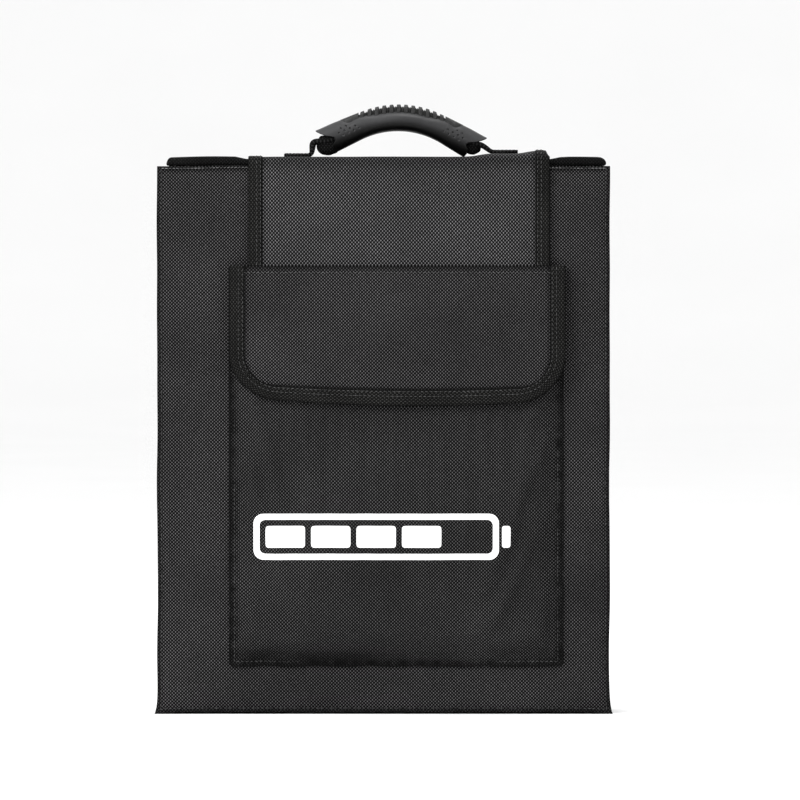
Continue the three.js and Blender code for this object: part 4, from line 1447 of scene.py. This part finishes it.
WEB_PATHS = {
    "left": (
        (-96.5, -12.2, 2.7),
        (-84, -12.2, 2.7),
        (-74, -12.2, 3.2),
        (-73.3, -6, 4.8),
        (-73, -2, 5),
        (-69.5, -0.3, 4.8),
        (-62, -1, 4.5),
        (-50, 3, 4),
        (-44, 6, 3.6),
    ),
    "right": (
        (96.5, -9.0, 2.8),
        (84, -9.4, 2.8),
        (75, -9.4, 3.2),
        (70.5, -6, 4),
        (66.5, -3.4, 4.4),
        (61, -2.4, 4.4),
        (54, -0.6, 4),
        (44, 4, 3.6),
    ),
}
BUNDLES = {
    "left": ((-69.6, -9.3, -11.9), (-51.5, 9.3, 4.6), 6.4),
    "right": ((52.5, -9.0, -11.6), (65.6, 9.0, 0.6), 5.6),
}
for seed, (side, hand) in enumerate((("left", -1), ("right", 1)), 110):
    place, long = web_place(WEB_PATHS[side], seed)
    strip = tube(f"handle_webbing_{side}", (40, round(long / (0.8 * MM))), place)
    dress(strip, webbing)
    edge = pivot[0] + hand * 74 * MM
    start, end = (edge, pivot[1], pivot[2]), (edge - hand * 11 * MM, pivot[1], pivot[2])
    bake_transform(strip)
    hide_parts(f"handle_anchor_{side}", "handle_webbing")
    low, high, radius = BUNDLES[side]
    bundle = soft_box(
        f"handle_webbing_bundle_{side}",
        Vector(low) * MM + Vector(pivot),
        Vector(high) * MM + Vector(pivot),
        radius * MM,
        26,
    )
    co = points_of(bundle)
    centre = (np.array(low) + np.array(high)) / 2 * MM + np.array(pivot)
    out = co - centre
    out /= np.linalg.norm(out, axis=1)[:, None]
    fold = ripple(co[:, 0] * 1.6, co[:, 2], 0.011, seed + 5)
    fold += 0.7 * np.sin((co[:, 0] + co[:, 2]) / (1.6 * MM))
    co += out * (0.35 * MM * fold)[:, None]
    reshape(bundle, co)
    box_uv(bundle)
    finish(bundle, 60)
    dress(bundle, webbing)
    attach(bundle, "handle")

    top_z = pivot[2] + (WEB_PATHS[side][1][1] + WEB_PATHS[side][1][2] / 2 + 0.1) * MM

    def pad_place(u, v, hand=hand, top_z=top_z):
        x = pivot[0] + hand * PAD_AT + (u - 0.5) * PAD_SEWN[0]
        y = pivot[1] + (v - 0.5) * PAD_SEWN[1]
        return (x, y, np.full_like(x, top_z)), (x, y)

    box = [(0, 0), (0, 1), (1, 1), (1, 0), (0, 0)]
    cross = [(0, 0), (1, 1)], [(0, 1), (1, 0)]
    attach(stitching(f"handle_pad_stitching_{side}", pad_place, [box, *cross], pitch=3.2 * MM), "lid")


# ---- Floor, light and camera -------------------------------------------------------------------------------
# A white floor that is flat round the bag and rises far out into a bowl, so it fills the view from any side.

FLAT_OUT_TO, BOWL_RUN, BOWL_RISE = 6.5, 8, 6
bpy.ops.object.select_all(action="DESELECT")
bpy.ops.mesh.primitive_grid_add(x_subdivisions=48, y_subdivisions=48, size=30)
floor = bpy.context.object
floor.name = "floor"
floor_points = points_of(floor)
from_bag = np.hypot(floor_points[:, 0], floor_points[:, 1])
floor_points[:, 2] = BOWL_RISE * smooth((from_bag - FLAT_OUT_TO) / BOWL_RUN)
reshape(floor, floor_points)
finish(floor, 80)
floor.data.materials.append(
    surface("floor_paint", lambda tree: shades(tree, noise_of(tree, 3.0), (0.0, 0.9), (1.0, 0.93)), 0.8)
)

world = bpy.data.worlds.new("studio")
world.use_nodes = True
world.node_tree.nodes["Background"].inputs["Color"].default_value = (1, 1, 1, 1)
world.node_tree.nodes["Background"].inputs["Strength"].default_value = 1.05
bpy.context.scene.world = world
bpy.context.scene.view_settings.view_transform = "Standard"


def lamp(name, place, aim, size, watts):
    data = bpy.data.lights.new(name, "AREA")
    data.shape, data.size, data.energy = "DISK", size, watts
    lit = bpy.data.objects.new(name, data)
    lit.location = place
    lit.rotation_euler = (Vector(aim) - Vector(place)).to_track_quat("-Z", "Y").to_euler()
    lit.visible_camera = False
    bpy.context.scene.collection.objects.link(lit)


middle = (0, 0, height * 0.55)
lamp("key", (-1.3, -1.5, 1.7), middle, 0.9, 30)
lamp("side", (-0.95, -0.75, 0.8), (-0.1, 0, 0.3), 0.5, 7)
lamp("top", (0.1, -0.2, 1.9), middle, 0.9, 22)

VIEW_WIDTH = 0.6588  # what the picture spans at the front panel
CAMERA_AWAY, CAMERA_HEIGHT = 5.0, 0.42
CENTRE_X, CENTRE_Z = 0.0136, 0.2593
camera_data = bpy.data.cameras.new("camera")
SENSOR = 36
camera_data.sensor_width = SENSOR
camera_data.lens = SENSOR * CAMERA_AWAY / VIEW_WIDTH
camera = bpy.data.objects.new("camera", camera_data)
camera.location = (CENTRE_X, FRONT - CAMERA_AWAY, CAMERA_HEIGHT)
camera.rotation_euler = (math.pi / 2 - math.atan2(CAMERA_HEIGHT - CENTRE_Z, CAMERA_AWAY), 0, 0)
bpy.context.scene.collection.objects.link(camera)
bpy.context.scene.camera = camera

bpy.context.view_layer.update()
